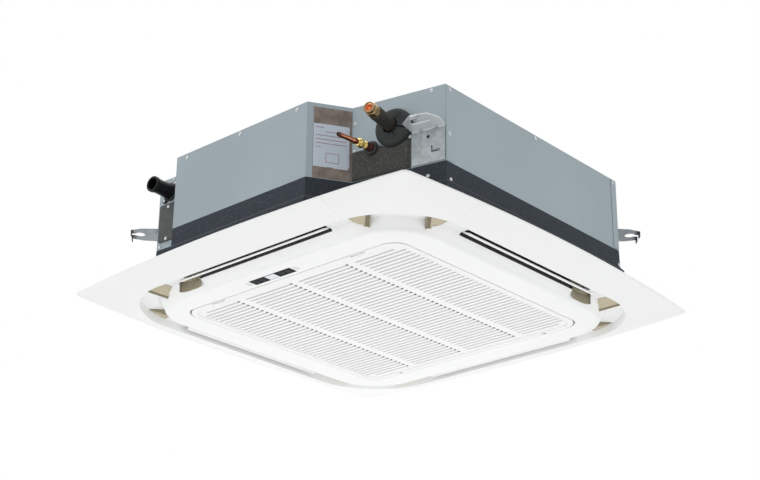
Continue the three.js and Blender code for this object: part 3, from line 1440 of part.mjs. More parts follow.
// ---------------------------------------------------------------- grille
// One slot between two slats; it leans so that the filter can't be seen from the room.
function slatGap(x0, x1, y) {
  const low = ISLAND_Z - 2;
  const high = ISLAND_Z + GRILLE_DEPTH + 2;
  const gap = box(x0, x1, y - SLAT_OPENING / 2, y + SLAT_OPENING / 2, low, high);
  const shear = SLAT_LEAN / GRILLE_DEPTH;
  const middle = ISLAND_Z + GRILLE_DEPTH / 2;
  return gap.applyMatrix4(new THREE.Matrix4().set(
    1, 0, 0, 0,
    0, 1, -shear, shear * middle,
    0, 0, 1, 0,
    0, 0, 0, 1,
  ));
}

const notch = (x) => box(
  x - HINGE_EAR / 2 - 1.2,
  x + HINGE_EAR / 2 + 1.2,
  hingeY - 6,
  GRILLE_HALF + 5,
  ISLAND_Z - 5,
  ISLAND_Z + GRILLE_DEPTH + 5,
);

function latchRecess(x) {
  const reach = GRILLE_HALF - 1.5;
  return box(
    x - LATCH_LENGTH / 2 - 0.5,
    x + LATCH_LENGTH / 2 + 0.5,
    -reach,
    -reach + LATCH_WIDTH + 6,
    ISLAND_Z - 2,
    ISLAND_Z + 2,
  );
}

function intakeGrille() {
  const outline = (inset) => roundedSquare(GRILLE_HALF - inset, GRILLE_CORNER_R - inset);
  const low = ISLAND_Z;
  const high = ISLAND_Z + GRILLE_DEPTH;
  const deck = low + 1;
  const plate = taper([
    atHeight(outline(1), low - 0.5),
    atHeight(outline(0), low + 0.8),
    atHeight(outline(0), high),
  ]);
  const field = taper([atHeight(outline(GRILLE_RIM - 5), low - 2), atHeight(outline(GRILLE_RIM - 4), deck)]);
  const gaps = [];
  const bays = [-2, -1, 0, 1];
  for (let row = 0; row < SLAT_COUNT; row += 1) {
    const y = (row - (SLAT_COUNT - 1) / 2) * SLAT_PITCH;
    const edge = Math.abs(y) > GRILLE_HALF - GRILLE_CORNER_R - 8 ? GRILLE_CORNER_R : GRILLE_RIM;
    for (const bay of bays) {
      const x0 = bay === -2 ? -GRILLE_HALF + edge : bay * RIB_PITCH + RIB_WIDTH / 2;
      const x1 = bay === 1 ? GRILLE_HALF - edge : (bay + 1) * RIB_PITCH - RIB_WIDTH / 2;
      gaps.push(slatGap(x0, x1, y));
    }
  }
  const channelStart = -LATCH_NECK - LATCH_TRAVEL - 2.2;
  const channel = box(-LATCH_X - 3.5, -LATCH_X + 3.5, channelStart, -LATCH_NECK + 2.2, low - 2, high + 2);
  const body = cut(
    plate,
    field,
    ...gaps,
    notch(-HINGE_X),
    notch(HINGE_X),
    latchRecess(-LATCH_X),
    latchRecess(LATCH_X),
    channel,
    channel.clone().translate(2 * LATCH_X, 0, 0),
  );
  const pins = [-HINGE_X, HINGE_X].map((x) => pinX(HINGE_PIN_R, x - HINGE_EAR, x + HINGE_EAR, hingeY, hingeZ));
  return join(body, ...pins);
}

add('intake_grille', intakeGrille(), WHITE);

// Slide button in the rim of the grille; its neck passes up to a tongue that enters the frame.
function latch(x) {
  const reach = GRILLE_HALF - 1.5 - GAP;
  const thumb = box(
    x - LATCH_LENGTH / 2,
    x + LATCH_LENGTH / 2,
    -reach + LATCH_TRAVEL,
    -reach + LATCH_TRAVEL + LATCH_WIDTH,
    ISLAND_Z - 0.2,
    ISLAND_Z + 2 - GAP,
  );
  const neckTop = ISLAND_Z + GRILLE_DEPTH + GAP + 1.6;
  const neck = box(x - 3, x + 3, -LATCH_NECK - 1.7, -LATCH_NECK + 1.7, ISLAND_Z + 1, neckTop);
  const tongueZ = ISLAND_Z + GRILLE_DEPTH + GAP + 0.6;
  const tongue = box(x - 6, x + 6, -GRILLE_HALF + 1, -LATCH_NECK + 1.7, tongueZ, neckTop + 1.4);
  return join(thumb, neck, tongue);
}

add('grille_latch_left', latch(-LATCH_X), WHITE);
add('grille_latch_right', latch(LATCH_X), WHITE);

// The washable filter: a thin frame with cross bars over a net that is one thin sheet.
function airFilter() {
  const low = ISLAND_Z + GRILLE_DEPTH + GAP;
  const sheet = box(-FILTER_HALF, FILTER_HALF, -FILTER_HALF, FILTER_HALF, low, low + FILTER_DEPTH);
  const bay = (2 * FILTER_HALF - FILTER_FRAME) / FILTER_BAYS;
  const pockets = [];
  for (let i = 0; i < FILTER_BAYS; i += 1) {
    for (let j = 0; j < FILTER_BAYS; j += 1) {
      const x = -FILTER_HALF + FILTER_FRAME + i * bay;
      const y = -FILTER_HALF + FILTER_FRAME + j * bay;
      const open = bay - FILTER_FRAME;
      pockets.push(box(x, x + open, y, y + open, low + FILTER_NET, low + FILTER_DEPTH + 1));
    }
  }
  return cut(sheet, ...pockets);
}

add('air_filter', airFilter(), GREY_FOAM);

// ---------------------------------------------------------------- display
function displayWindow() {
  const half = DISPLAY_LENGTH / 2;
  return box(
    DISPLAY_CENTRE_X - half,
    DISPLAY_CENTRE_X + half,
    -DISPLAY_OUT - DISPLAY_WIDTH / 2,
    -DISPLAY_OUT + DISPLAY_WIDTH / 2,
    ISLAND_Z - 0.3,
    ISLAND_Z + DISPLAY_DEPTH - GAP,
  );
}

function receiverBoard() {
  const half = DISPLAY_LENGTH / 2 - 6;
  const low = ISLAND_Z + ISLAND_WALL + GAP;
  const board = box(DISPLAY_CENTRE_X - half, DISPLAY_CENTRE_X + half, -DISPLAY_OUT - 9, -DISPLAY_OUT + 9, low, low + 1.6);
  const receiver = box(DISPLAY_CENTRE_X - 6, DISPLAY_CENTRE_X + 6, -DISPLAY_OUT - 5, -DISPLAY_OUT + 5, low + 1, low + 7);
  return join(board, receiver);
}

add('display_window', displayWindow(), BLACK);
add('receiver_board', receiverBoard(), SLATE);

export default cassette;
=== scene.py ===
# %% [markdown]
# # A ceiling cassette air conditioner, dressed in Blender
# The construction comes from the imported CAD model: steel casing, foam drain pan, white panel,
# grille, louvres, pipes. Blender adds what a camera sees: finishes, rounded mouldings, screws,
# seams, threads and labels. This first cell loads the frame. Everything is in metres in the
# same frame as the CAD model: the ceiling is at z = 0 and +Z goes up into the ceiling void.

import math

import bmesh
import bpy
from mathutils import Matrix, Vector, noise


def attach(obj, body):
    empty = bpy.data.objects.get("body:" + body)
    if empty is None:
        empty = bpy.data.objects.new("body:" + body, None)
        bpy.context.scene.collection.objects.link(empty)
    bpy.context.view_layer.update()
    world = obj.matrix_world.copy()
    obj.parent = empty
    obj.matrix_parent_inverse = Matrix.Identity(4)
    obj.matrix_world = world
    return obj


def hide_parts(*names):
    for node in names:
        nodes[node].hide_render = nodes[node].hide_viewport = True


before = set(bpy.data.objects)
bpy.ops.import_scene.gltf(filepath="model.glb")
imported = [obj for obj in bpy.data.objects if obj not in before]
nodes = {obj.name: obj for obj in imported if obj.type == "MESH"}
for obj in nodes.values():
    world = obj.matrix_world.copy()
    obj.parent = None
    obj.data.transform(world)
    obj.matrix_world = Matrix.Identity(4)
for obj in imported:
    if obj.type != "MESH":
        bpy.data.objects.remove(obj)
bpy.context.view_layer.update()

# %% [markdown]
# ## Shader maths as plain expressions
# A shader in Blender is a graph of nodes. Written node by node, even `1 - a * b` takes six
# lines. `Signal` wraps one output socket and overloads the operators, so that shader maths
# reads like arithmetic. Colours and vectors go through Mix and Vector Math instead, because a
# Math node would turn a colour grey.

# %% A socket that does arithmetic
class Signal:
    """One output socket of a material's node tree."""

    def __init__(self, finish, socket):
        self.finish = finish
        self.socket = socket

    def _math(self, operation, first, second):
        return self.finish.node("Math", {0: first, 1: second}, operation=operation)

    def __add__(self, other):
        return self._math("ADD", self, other)

    def __radd__(self, other):
        return self._math("ADD", other, self)

    def __sub__(self, other):
        return self._math("SUBTRACT", self, other)

    def __rsub__(self, other):
        return self._math("SUBTRACT", other, self)

    def __mul__(self, other):
        return self._math("MULTIPLY", self, other)

    def __rmul__(self, other):
        return self._math("MULTIPLY", other, self)


# %% A finish: one material and the one method that adds any node to it
class Finish:
    """A Principled material under construction."""

    def __init__(self, name, color=(0.8, 0.8, 0.8), roughness=0.5, metallic=0.0):
        self.material = bpy.data.materials.new(name)
        self.material.use_nodes = True
        self.tree = self.material.node_tree
        self.shader = self.tree.nodes["Principled BSDF"]
        self.feed(Color=color, Roughness=roughness, Metallic=metallic)

    def node(self, kind, inputs=None, output=0, **settings):
        """Adds a node: its settings first, then the values or links of its sockets."""
        made = self.tree.nodes.new("ShaderNode" + kind)
        for setting, value in settings.items():
            setattr(made, setting, value)
        for key, value in (inputs or {}).items():
            self._join(made.inputs[key], value)
        return Signal(self, made.outputs[output])

    def _join(self, socket, value):
        if isinstance(value, Signal):
            self.tree.links.new(value.socket, socket)
        elif socket.type == "RGBA":
            socket.default_value = (*value, 1.0)
        else:
            socket.default_value = value

    def feed(self, **sockets):
        """Sets or links sockets of the Principled shader; Color is its Base Color."""
        names = {"Color": "Base Color", "Coat": "Coat Weight", "Specular": "Specular IOR Level"}
        for key, value in sockets.items():
            self._join(self.shader.inputs[names.get(key, key)], value)
        return self

    # The helpers below are only short ways to call node().
    def place(self, stretch=(1.0, 1.0, 1.0)):
        """Where a point lies on the piece, in metres, stretched along each axis."""
        where = self.node("TexCoord", output="Object")
        return self.node("VectorMath", {0: where, 1: stretch}, operation="MULTIPLY")

    def axis(self, name):
        """One coordinate of the point in metres: X, Y or Z."""
        return self.node("SeparateXYZ", {0: self.node("TexCoord", output="Object")}, output=name)

    def noise(self, grain, detail=2.0, stretch=(1.0, 1.0, 1.0), roughness=0.5):
        """Noise from 0 to 1 whose blotches are about grain millimetres across."""
        inputs = {"Vector": self.place(stretch), "Scale": 1000.0 / grain,
                  "Detail": detail, "Roughness": roughness}
        return self.node("TexNoise", inputs)

    def cells(self, grain, feature="F1", output="Distance"):
        inputs = {"Vector": self.place(), "Scale": 1000.0 / grain}
        return self.node("TexVoronoi", inputs, output=output, feature=feature)

    def step(self, value, start, stop):
        """0 below start, 1 above stop, smooth between."""
        inputs = {"Value": value, "From Min": start, "From Max": stop}
        return self.node("MapRange", inputs, interpolation_type="SMOOTHSTEP")

    def mix(self, share, first, second):
        """Two colours mixed: 0 gives the first, 1 the second."""
        return self.node("Mix", {0: share, 6: first, 7: second}, output=2, data_type="RGBA")

    def wave(self, value, pitch):
        """A zigzag from 0 to 0.5 and back along a coordinate, one every two pitches."""
        return self.node("Math", {0: value * (1000.0 / pitch), 1: 0.5}, operation="PINGPONG")

    def bump(self, height, depth):
        """Relief of up to depth millimetres. Height runs from 0 to 1."""
        inputs = {"Height": height, "Distance": depth * 0.001, "Strength": 1.0}
        return self.node("Bump", inputs)


# %% [markdown]
# ## Camera
# The photograph was taken from below, near the pipe corner. Its lens and place were worked out
# from the outlines of the casing and the panel. Blender's camera looks along its own -Z, so
# the turns are: heading about Z, tilt about X, and a small roll about the line of sight.

# %% Camera
LENS = 76.30
HEADING = math.radians(42.035)
PITCH = math.radians(23.416)
ROLL = math.radians(0.594)
CAMERA_PLACE = (2.0811, -2.3217, -1.2088)

camera_data = bpy.data.cameras.new("camera")
camera_data.lens = LENS
camera_data.sensor_width = 36.0
camera = bpy.data.objects.new("camera", camera_data)
bpy.context.scene.collection.objects.link(camera)
camera.matrix_world = (
    Matrix.Translation(CAMERA_PLACE)
    @ Matrix.Rotation(HEADING, 4, "Z")
    @ Matrix.Rotation(math.pi / 2 + PITCH, 4, "X")
    @ Matrix.Rotation(ROLL, 4, "Z")
)
bpy.context.scene.camera = camera
print("camera", [round(v, 3) for v in CAMERA_PLACE], "lens", LENS, "mm")

# %% [markdown]
# ## Studio
# The object hangs, and it is seen from below, so the light has to reach its underside: one
# large soft panel lies under it, two stand low in front, one low behind, one hangs above,
# and a pale floor throws light back up. The white background is only the colour of the world
# for the camera and for reflections. The light that the world gives is lower, so that a pale
# surface shows about as its colour is written.

# %% World, floor and lamps
WORLD_LIGHT = 0.62
FLOOR_Z = -1.75
FLOOR_HALF = 9.0

world = bpy.data.worlds.new("studio")
world.use_nodes = True
bpy.context.scene.world = world
sky = world.node_tree
background = sky.nodes["Background"]
background.inputs["Color"].default_value = (1.0, 1.0, 1.0, 1.0)
path = sky.nodes.new("ShaderNodeLightPath")
bright = path.outputs["Is Camera Ray"]
for ray in ("Is Glossy Ray", "Is Transmission Ray"):
    either = sky.nodes.new("ShaderNodeMath")
    either.operation = "MAXIMUM"
    sky.links.new(bright, either.inputs[0])
    sky.links.new(path.outputs[ray], either.inputs[1])
    bright = either.outputs[0]
strength = sky.nodes.new("ShaderNodeMapRange")
strength.inputs["To Min"].default_value = WORLD_LIGHT
strength.inputs["To Max"].default_value = 1.0
sky.links.new(bright, strength.inputs["Value"])
sky.links.new(strength.outputs[0], background.inputs["Strength"])

floor_finish = Finish("studio_floor", color=(0.86, 0.86, 0.86), roughness=0.9)
floor_mesh = bpy.data.meshes.new("floor")
corners = [(-FLOOR_HALF, -FLOOR_HALF), (FLOOR_HALF, -FLOOR_HALF), (FLOOR_HALF, FLOOR_HALF),
           (-FLOOR_HALF, FLOOR_HALF)]
floor_mesh.from_pydata([(x, y, FLOOR_Z) for x, y in corners], [], [(0, 1, 2, 3)])
floor_mesh.materials.append(floor_finish.material)
floor = bpy.data.objects.new("floor", floor_mesh)
bpy.context.scene.collection.objects.link(floor)


def soft_panel(name, place, size, power):
    """A square lamp that faces the object."""
    data = bpy.data.lights.new(name, "AREA")
    data.size = size
    data.energy = power
    lamp = bpy.data.objects.new(name, data)
    lamp.location = place
    lamp.rotation_euler = Vector(place).to_track_quat("Z", "Y").to_euler()
    bpy.context.scene.collection.objects.link(lamp)


soft_panel("panel_left", (-1.6, -3.2, -1.0), 2.4, 42)
soft_panel("panel_right", (3.4, 1.2, -1.2), 2.4, 36)
soft_panel("panel_below", (0.0, 0.2, -1.68), 2.6, 11)
soft_panel("panel_far", (-2.6, 2.6, -1.3), 2.2, 15)
soft_panel("panel_above", (-0.5, -0.5, 3.4), 3.0, 60)

bpy.context.scene.view_settings.view_transform = "Standard"

# %% [markdown]
# ## Finishes
# Each finish starts from the colour in the photograph and gets what such a surface has from
# close by: rolled grain on zinc-coated sheet, a fine spark-eroded texture on white mouldings,
# beads in pressed foam, fins on the coil.

# %% Zinc-coated sheet
def shade(color, share):
    """The same colour, darker below 1 and paler above it."""
    return tuple(min(1.0, v * share) for v in color)


def zinc_sheet(name, color, gloss=0.40, metal=0.45):
    """Cold-rolled sheet: a slow drift of tone, a faint spangle and horizontal rolling grain."""
    look = Finish(name, metallic=metal)
    drift = look.noise(260, detail=1.0)
    spangle = look.node("SeparateColor", {0: look.cells(14, output="Color")})
    grain = look.noise(1.2, detail=3.0, stretch=(0.03, 0.03, 1.0))
    tone = look.step(drift, 0.3, 0.7) * 0.6 + grain * 0.25 + spangle * 0.15
    return look.feed(
        Color=look.mix(tone, shade(color, 0.93), shade(color, 1.07)),
        Roughness=grain * 0.10 + (gloss - 0.05) + drift * 0.06,
        Normal=look.bump(grain, 0.02),
    ).material


TAB_UNDERSIDE = (0.1495, 0.1515)    # heights in metres between which the folded tab starts
TIP_FADE = 0.008


def hanger_zinc(name, color, tip_reach=None, tab_highlight_share=0.75):
    """Thicker sheet with larger spangles, and a painted highlight on the tab. Beyond tip_reach
    metres from the unit's middle the hook tips are painted dark as shade."""
    look = Finish(name, metallic=0.45)
    flakes = look.node("SeparateColor", {0: look.cells(7, output="Color")})
    cloud = look.noise(22, detail=4.0)
    tone = flakes * 0.45 + look.step(cloud, 0.3, 0.7) * 0.55
    base = look.mix(tone, shade(color, 0.72), shade(color, 1.18))
    # Painted highlight: above the tab's underside the colour is lightened towards pale grey.
    tab_highlight = look.step(look.axis("Z"), *TAB_UNDERSIDE) * tab_highlight_share
    base = look.mix(tab_highlight, base, (0.78, 0.80, 0.82))
    if tip_reach:
        out = look.node("VectorMath", {0: look.place((1, 1, 0))}, output="Value",
                        operation="LENGTH")
        # Painted shade: beyond tip_reach the hook tips are mixed to near black.
        tip_shade = look.step(out, tip_reach, tip_reach + TIP_FADE)
        base = look.mix(tip_shade, base, (0.03, 0.032, 0.035))
    rough = flakes * 0.14 + 0.30
    return look.feed(Color=base, Roughness=rough, Normal=look.bump(cloud, 0.25)).material


# %% White mouldings
SHADE_FADE = 0.004


def white_moulding(name, color, gloss=0.36, texture=0.015, shade_above=None):
    """ABS from a spark-eroded mould: very fine texture, a hint of dust, painted shade deep in its
    slots.
    """
    look = Finish(name)
    skin = look.noise(0.9, detail=2.0)
    dust = look.step(look.noise(90, detail=4.0), 0.55, 0.8)
    base = look.mix(dust, color, shade(color, 0.985))
    if shade_above is not None:
        # Painted shade: above shade_above the colour is halved.
        slot_shade = look.step(look.axis("Z"), shade_above, shade_above + SHADE_FADE)
        base = look.mix(slot_shade, base, shade(color, 0.5))
    rough = gloss + dust * 0.05 + skin * 0.04
    return look.feed(Color=base, Roughness=rough, Normal=look.bump(skin, texture)).material


# %% Foams
def bead_foam(name, color, bead=4.0, speck=None):
    """Moulded bead foam: cells pressed flat against the mould, with fine seams between."""
    look = Finish(name, roughness=0.8)
    joint = 1 - look.step(look.cells(bead, feature="DISTANCE_TO_EDGE"), 0.0, 0.12)
    cloud = look.noise(40, detail=3.0)
    base = look.mix(cloud, shade(color, 0.86), shade(color, 1.08))
    base = look.mix(joint * 0.5, base, shade(color, 0.72))
    if speck:
        flecks = look.step(look.noise(bead * 0.7, detail=3.0, roughness=0.7), 0.60, 0.70)
        base = look.mix(flecks * 0.8, base, speck)
    rough = cloud * 0.1 + 0.78
    return look.feed(Color=base, Roughness=rough, Normal=look.bump(1 - joint, 0.12)).material


def speckled_sponge(name, color, speck, pore):
    """Open-cell sponge: dark pores and pale specks where cut cell walls catch the light."""
    look = Finish(name, roughness=0.95)
    pores = look.noise(pore, detail=4.0, roughness=0.7)
    specks = look.step(look.noise(pore * 1.6, detail=2.0), 0.58, 0.66)
    blotch = look.noise(24, detail=3.0)
    tone = look.step(pores, 0.35, 0.65) * 0.6 + blotch * 0.4
    base = look.mix(specks, look.mix(tone, shade(color, 0.55), color), speck)
    return look.feed(Color=base, Normal=look.bump(pores, 0.5)).material


# %% Paper and print
def kraft_paper(name):
    """Brown wrapping paper: long fibres, a mottled tone and soft creases."""
    look = Finish(name, roughness=0.85)
    fibres = look.noise(1.5, detail=4.0, stretch=(0.25, 0.25, 1.0))
    mottle = look.noise(16, detail=4.0)
    crease = look.noise(30, detail=2.0)
    tone = fibres * 0.4 + look.step(mottle, 0.35, 0.65) * 0.6
    base = look.mix(tone, (0.16, 0.128, 0.112), (0.29, 0.245, 0.215))
    return look.feed(Color=base, Normal=look.bump(crease, 0.6)).material


def coated_label(name, color):
    """Smooth printed stock with a slight cloudiness."""
    look = Finish(name)
    cloud = look.noise(20, detail=3.0)
    base = look.mix(cloud, shade(color, 0.93), color)
    rough = cloud * 0.1 + 0.35
    return look.feed(Color=base, Roughness=rough, Normal=look.bump(cloud, 0.1)).material


# %% Rubber and dark plastics
def soft_rubber(name, color, gloss=0.55, relief=0.05):
    """Rubber or closed-cell foam with a pale bloom where it has been handled."""
    look = Finish(name)
    bloom = look.noise(18, detail=4.0)
    skin = look.noise(1.0, detail=2.0)
    pale = tuple(v * 1.6 + 0.01 for v in color)
    return look.feed(
        Color=look.mix(look.step(bloom, 0.45, 0.8) * 0.6, color, pale),
        Roughness=gloss + bloom * 0.15,
        Normal=look.bump(skin, relief),
    ).material


def moulded_black(name, color, gloss):
    """Black moulding with a dull shine: it keeps dark, because it mirrors little."""
    look = Finish(name).feed(Specular=0.25)
    cloud = look.noise(12, detail=3.0)
    base = look.mix(cloud, color, shade(color, 2.2))
    skin = look.bump(look.noise(0.8, detail=2.0), 0.03)
    return look.feed(Color=base, Roughness=gloss + cloud * 0.14, Normal=skin).material


# %% Bare metals
def turned_metal(name, color, tarnish, gloss=0.22, wear=0.35):
    """Brass or copper: fine tool marks and patches of tarnish."""
    look = Finish(name, metallic=1.0)
    patch = look.step(look.noise(9, detail=4.0), 0.45, 0.75)
    marks = look.noise(0.6, detail=2.0)
    return look.feed(
        Color=look.mix(patch * wear, color, tarnish),
        Roughness=gloss + patch * 0.18 + marks * 0.06,
        Normal=look.bump(marks, 0.02),
    ).material


FIN_PITCH, NET_PITCH, LINING_RIB_PITCH = 1.6, 1.2, 9.0


def coil_fins(name):
    """Aluminium fins, drawn as vertical lines round the finned block, with painted shade in the
    gaps between them.
    """
    look = Finish(name, metallic=0.85)
    across = look.axis("X") + look.axis("Y")
    fins = across * (1000.0 / FIN_PITCH / math.sqrt(2.0))
    gap_shade = look.step(look.node("Math", {0: fins}, operation="FRACT"), 0.45, 0.75)
    return look.feed(
        Color=look.mix(gap_shade, (0.62, 0.65, 0.67), (0.05, 0.055, 0.06)),
        Roughness=0.35 + gap_shade * 0.3,
        Normal=look.bump(1 - gap_shade, 0.4),
    ).material


# %% Filter net, windows and board
def filter_net(name):
    """A woven polyester net, with painted shade in the holes between its threads in both
    directions.
    """
    look = Finish(name, roughness=0.7)
    spans = [look.wave(look.axis(axis), NET_PITCH) for axis in "XY"]
    hole = look.step(spans[0], 0.12, 0.2) * look.step(spans[1], 0.12, 0.2)
    return look.feed(
        Color=look.mix(hole, (0.075, 0.08, 0.085), (0.012, 0.013, 0.014)),
        Normal=look.bump(1 - hole, 0.3),
    ).material


def glossy_window(name, color, gloss, shine=0.5):
    """Polished acrylic with a faint smear of fingerprints."""
    look = Finish(name).feed(Specular=shine)
    smear = look.noise(30, detail=2.0)
    pale = tuple(v * 1.05 + 0.002 for v in color)
    return look.feed(Color=look.mix(smear, color, pale), Roughness=gloss + smear * 0.08).material


def slot_lining(name):
    """A dark plate painted as the shade behind a slot, with the faint upright ribs that
    stiffen it and painted shade in the grooves between them.
    """
    look = Finish(name, roughness=0.6)
    ribs = look.wave(look.axis("X") + look.axis("Y"), LINING_RIB_PITCH)
    lit_ridge = look.step(ribs, 0.1, 0.35)
    base = look.mix(lit_ridge, (0.042, 0.045, 0.050), (0.068, 0.073, 0.080))
    return look.feed(Color=base, Normal=look.bump(lit_ridge, 0.8)).material


def circuit_board(name):
    """Green solder mask over a net of tracks."""
    look = Finish(name, roughness=0.4)
    track = look.step(look.cells(3.0, feature="DISTANCE_TO_EDGE"), 0.08, 0.12)
    return look.feed(Color=look.mix(track, (0.02, 0.09, 0.05), (0.03, 0.16, 0.08))).material


# %% The finishes of this unit
HOOK_REACH = 0.524              # metres from the middle to where the hook tips are painted dark as shade
# Height in metres above which the grille's slots are painted darker as shade.
GRILLE_SHADE_FROM = -0.0345

ZINC = zinc_sheet("casing_zinc", (0.315, 0.375, 0.405))
STEEL = zinc_sheet("bright_steel", (0.56, 0.58, 0.60), gloss=0.28, metal=0.95)
SCREW_STEEL = zinc_sheet("screw_zinc", (0.66, 0.68, 0.70), gloss=0.30, metal=0.55)
HANGER_ZINC = hanger_zinc("hanger_zinc", (0.42, 0.455, 0.48))
HOOK_ZINC = hanger_zinc("hook_zinc", (0.205, 0.245, 0.275), tip_reach=HOOK_REACH,
                        tab_highlight_share=0.12)

PANEL_WHITE = white_moulding("panel_white", (0.87, 0.88, 0.875))
GRILLE_WHITE = white_moulding("grille_white", (0.86, 0.865, 0.86), shade_above=GRILLE_SHADE_FROM)
LATCH_WHITE = white_moulding("latch_white", (0.86, 0.865, 0.86))
LOUVRE_WHITE = white_moulding("louvre_white", (0.88, 0.885, 0.88), gloss=0.3)
FAN_WHITE = white_moulding("fan_white", (0.62, 0.63, 0.62), gloss=0.5)
# Near black, painted as the shade in the throats behind the grille's dots.
THROAT_SHADE = white_moulding("slot_throat", (0.018, 0.019, 0.02), gloss=0.8)
HOSE_VINYL = white_moulding("hose_vinyl", (0.36, 0.38, 0.39), gloss=0.28, texture=0.04)

CREAM_FOAM = bead_foam("outlet_foam", (0.60, 0.535, 0.39), bead=3.0)
# The next two are the cream foam darkened as painted shade, for reveals, edges and hoods.
CREAM_DEEP_SHADE = bead_foam("shaded_cream", (0.25, 0.215, 0.145), bead=3.0)
CREAM_SHADE = bead_foam("hood_cream", (0.34, 0.30, 0.21), bead=3.0)
PALE_FOAM = bead_foam("liner_foam", (0.62, 0.63, 0.60), bead=3.0)
SLATE_FOAM = bead_foam("drain_pan_foam", (0.017, 0.025, 0.036), bead=4.5,
                       speck=(0.12, 0.14, 0.165))
WALL_SPONGE = speckled_sponge("wall_sponge", (0.064, 0.064, 0.060), (0.16, 0.152, 0.138),
                              pore=1.1)

BOSS_SPONGE = soft_rubber("boss_sponge", (0.022, 0.027, 0.027), gloss=0.72, relief=0.12)
TUBE_SPONGE = soft_rubber("tube_sponge", (0.024, 0.022, 0.017), gloss=0.7, relief=0.12)
GROMMET_RUBBER = soft_rubber("grommet_rubber", (0.008, 0.010, 0.009), gloss=0.5)
DARK_PLATE = soft_rubber("pump_cover_dark", (0.050, 0.056, 0.055), gloss=0.5)
RED_SLEEVE = soft_rubber("red_sleeve", (0.10, 0.022, 0.014), gloss=0.4)
BLACK_RUBBER = moulded_black("black_rubber", (0.0035, 0.0042, 0.0042), gloss=0.30)

BRASS = turned_metal("brass", (0.40, 0.285, 0.15), (0.17, 0.10, 0.05), gloss=0.28, wear=0.6)
GILT_BRASS = turned_metal("yellow_brass", (0.83, 0.62, 0.22), (0.40, 0.27, 0.08), gloss=0.18)
COPPER = turned_metal("copper", (0.40, 0.17, 0.095), (0.12, 0.05, 0.03), wear=0.75)
BRIGHT_COPPER = turned_metal("bright_copper", (0.84, 0.47, 0.29), (0.75, 0.34, 0.15),
                             gloss=0.16)
DARK_COPPER = turned_metal("dark_copper", (0.10, 0.055, 0.04), (0.03, 0.02, 0.02), gloss=0.35)

WINDOW = glossy_window("display_black", (0.005, 0.007, 0.009), gloss=0.30, shine=0.02)
MILKY = glossy_window("display_milky", (0.68, 0.70, 0.72), gloss=0.25)
ICON_GREY = glossy_window("display_icons", (0.062, 0.072, 0.080), gloss=0.5, shine=0.05)
PRINT_GREY = coated_label("panel_print", (0.50, 0.53, 0.545))
LABEL = coated_label("blank_label", (0.56, 0.64, 0.73))
RULE_RED = coated_label("label_rules", (0.30, 0.10, 0.13))
KRAFT = kraft_paper("kraft_paper")
FINS = coil_fins("coil_fins")
NET = filter_net("filter_net")
SLOT_SHADE = slot_lining("slot_lining")
BOARD = circuit_board("receiver_board")

# %% One finish for each carried-over node
SIDES = ("left", "right", "rear", "back")
CORNERS = ("near", "right", "far", "left")


def named(pattern, words):
    return [pattern.format(word) for word in words]


node_finish = {
    ZINC: ["top_plate", "control_box", "control_box_lid", "fan_motor", "pump_bracket",
           *named("{}_sheet", SIDES), *named("{}_corner_sheet", ("pipe", "drain", "right", "far"))],
    HANGER_ZINC: ["hanger_near"],
    HOOK_ZINC: named("hanger_{}", ("left", "right", "far")),
    PANEL_WHITE: ["panel_frame", *named("corner_cover_{}", CORNERS)],
    LOUVRE_WHITE: named("louvre_{}", SIDES),
    GRILLE_WHITE: ["intake_grille"],
    LATCH_WHITE: ["grille_latch_left", "grille_latch_right"],
    CREAM_FOAM: ["outlet_liner"],
    SLATE_FOAM: ["drain_pan"],
    PALE_FOAM: ["foam_liner"],
    HOSE_VINYL: ["drain_hose"],
    WALL_SPONGE: ["pipe_foam"],
    TUBE_SPONGE: ["gas_insulation"],
    BLACK_RUBBER: ["liquid_grommet", "drain_socket"],
    DARK_PLATE: ["pump_cover"],
    BRASS: ["gas_nut", "liquid_nut"],
    COPPER: ["gas_pipe", "liquid_pipe", "gas_header", "liquid_distributor"],
    FINS: ["coil", "coil_end_plate_left", "coil_end_plate_right"],
    STEEL: ["motor_shaft", "fan_nut", *named("louvre_motor_{}", SIDES)],
    FAN_WHITE: ["impeller", "bell_mouth", "drain_pump", "float_ring"],
    NET: ["air_filter"],
    WINDOW: ["display_window"],
    BOARD: ["receiver_board"],
}
for material, names in node_finish.items():
    for name in names:
        slots = nodes[name].data.materials
        if slots:
            slots[0] = material
        else:
            slots.append(material)
dressed = {name for names in node_finish.values() for name in names}
print("finishes:", len(node_finish), "nodes without one:", sorted(set(nodes) - dressed))

# %% [markdown]
# ## Solid forms in millimetres
# The mouldings are easier to think of in millimetres. `Form` holds points and faces in
# millimetres and can be added to another form. It becomes a Blender object, in metres, in one
# place, which also marks sharp edges, gives it its finish and lets it ride on its CAD body.

# %% Points and faces that can be added together
MM = 0.001


class Form:
    """Points in millimetres and the faces between them."""

    def __init__(self, points=(), faces=()):
        self.points = [Vector(p) for p in points]
        self.faces = [tuple(f) for f in faces]

    def __add__(self, other):
        shift = len(self.points)
        moved = [tuple(i + shift for i in face) for face in other.faces]
        return Form(self.points + other.points, self.faces + moved)

    def __radd__(self, other):
        return self if other == 0 else other + self

    def moved(self, matrix):
        return Form([matrix @ p for p in self.points], self.faces)

    def at(self, x=0.0, y=0.0, z=0.0):
        return self.moved(Matrix.Translation((x, y, z)))

    def turned(self, degrees, axis="Z"):
        return self.moved(Matrix.Rotation(math.radians(degrees), 4, axis))


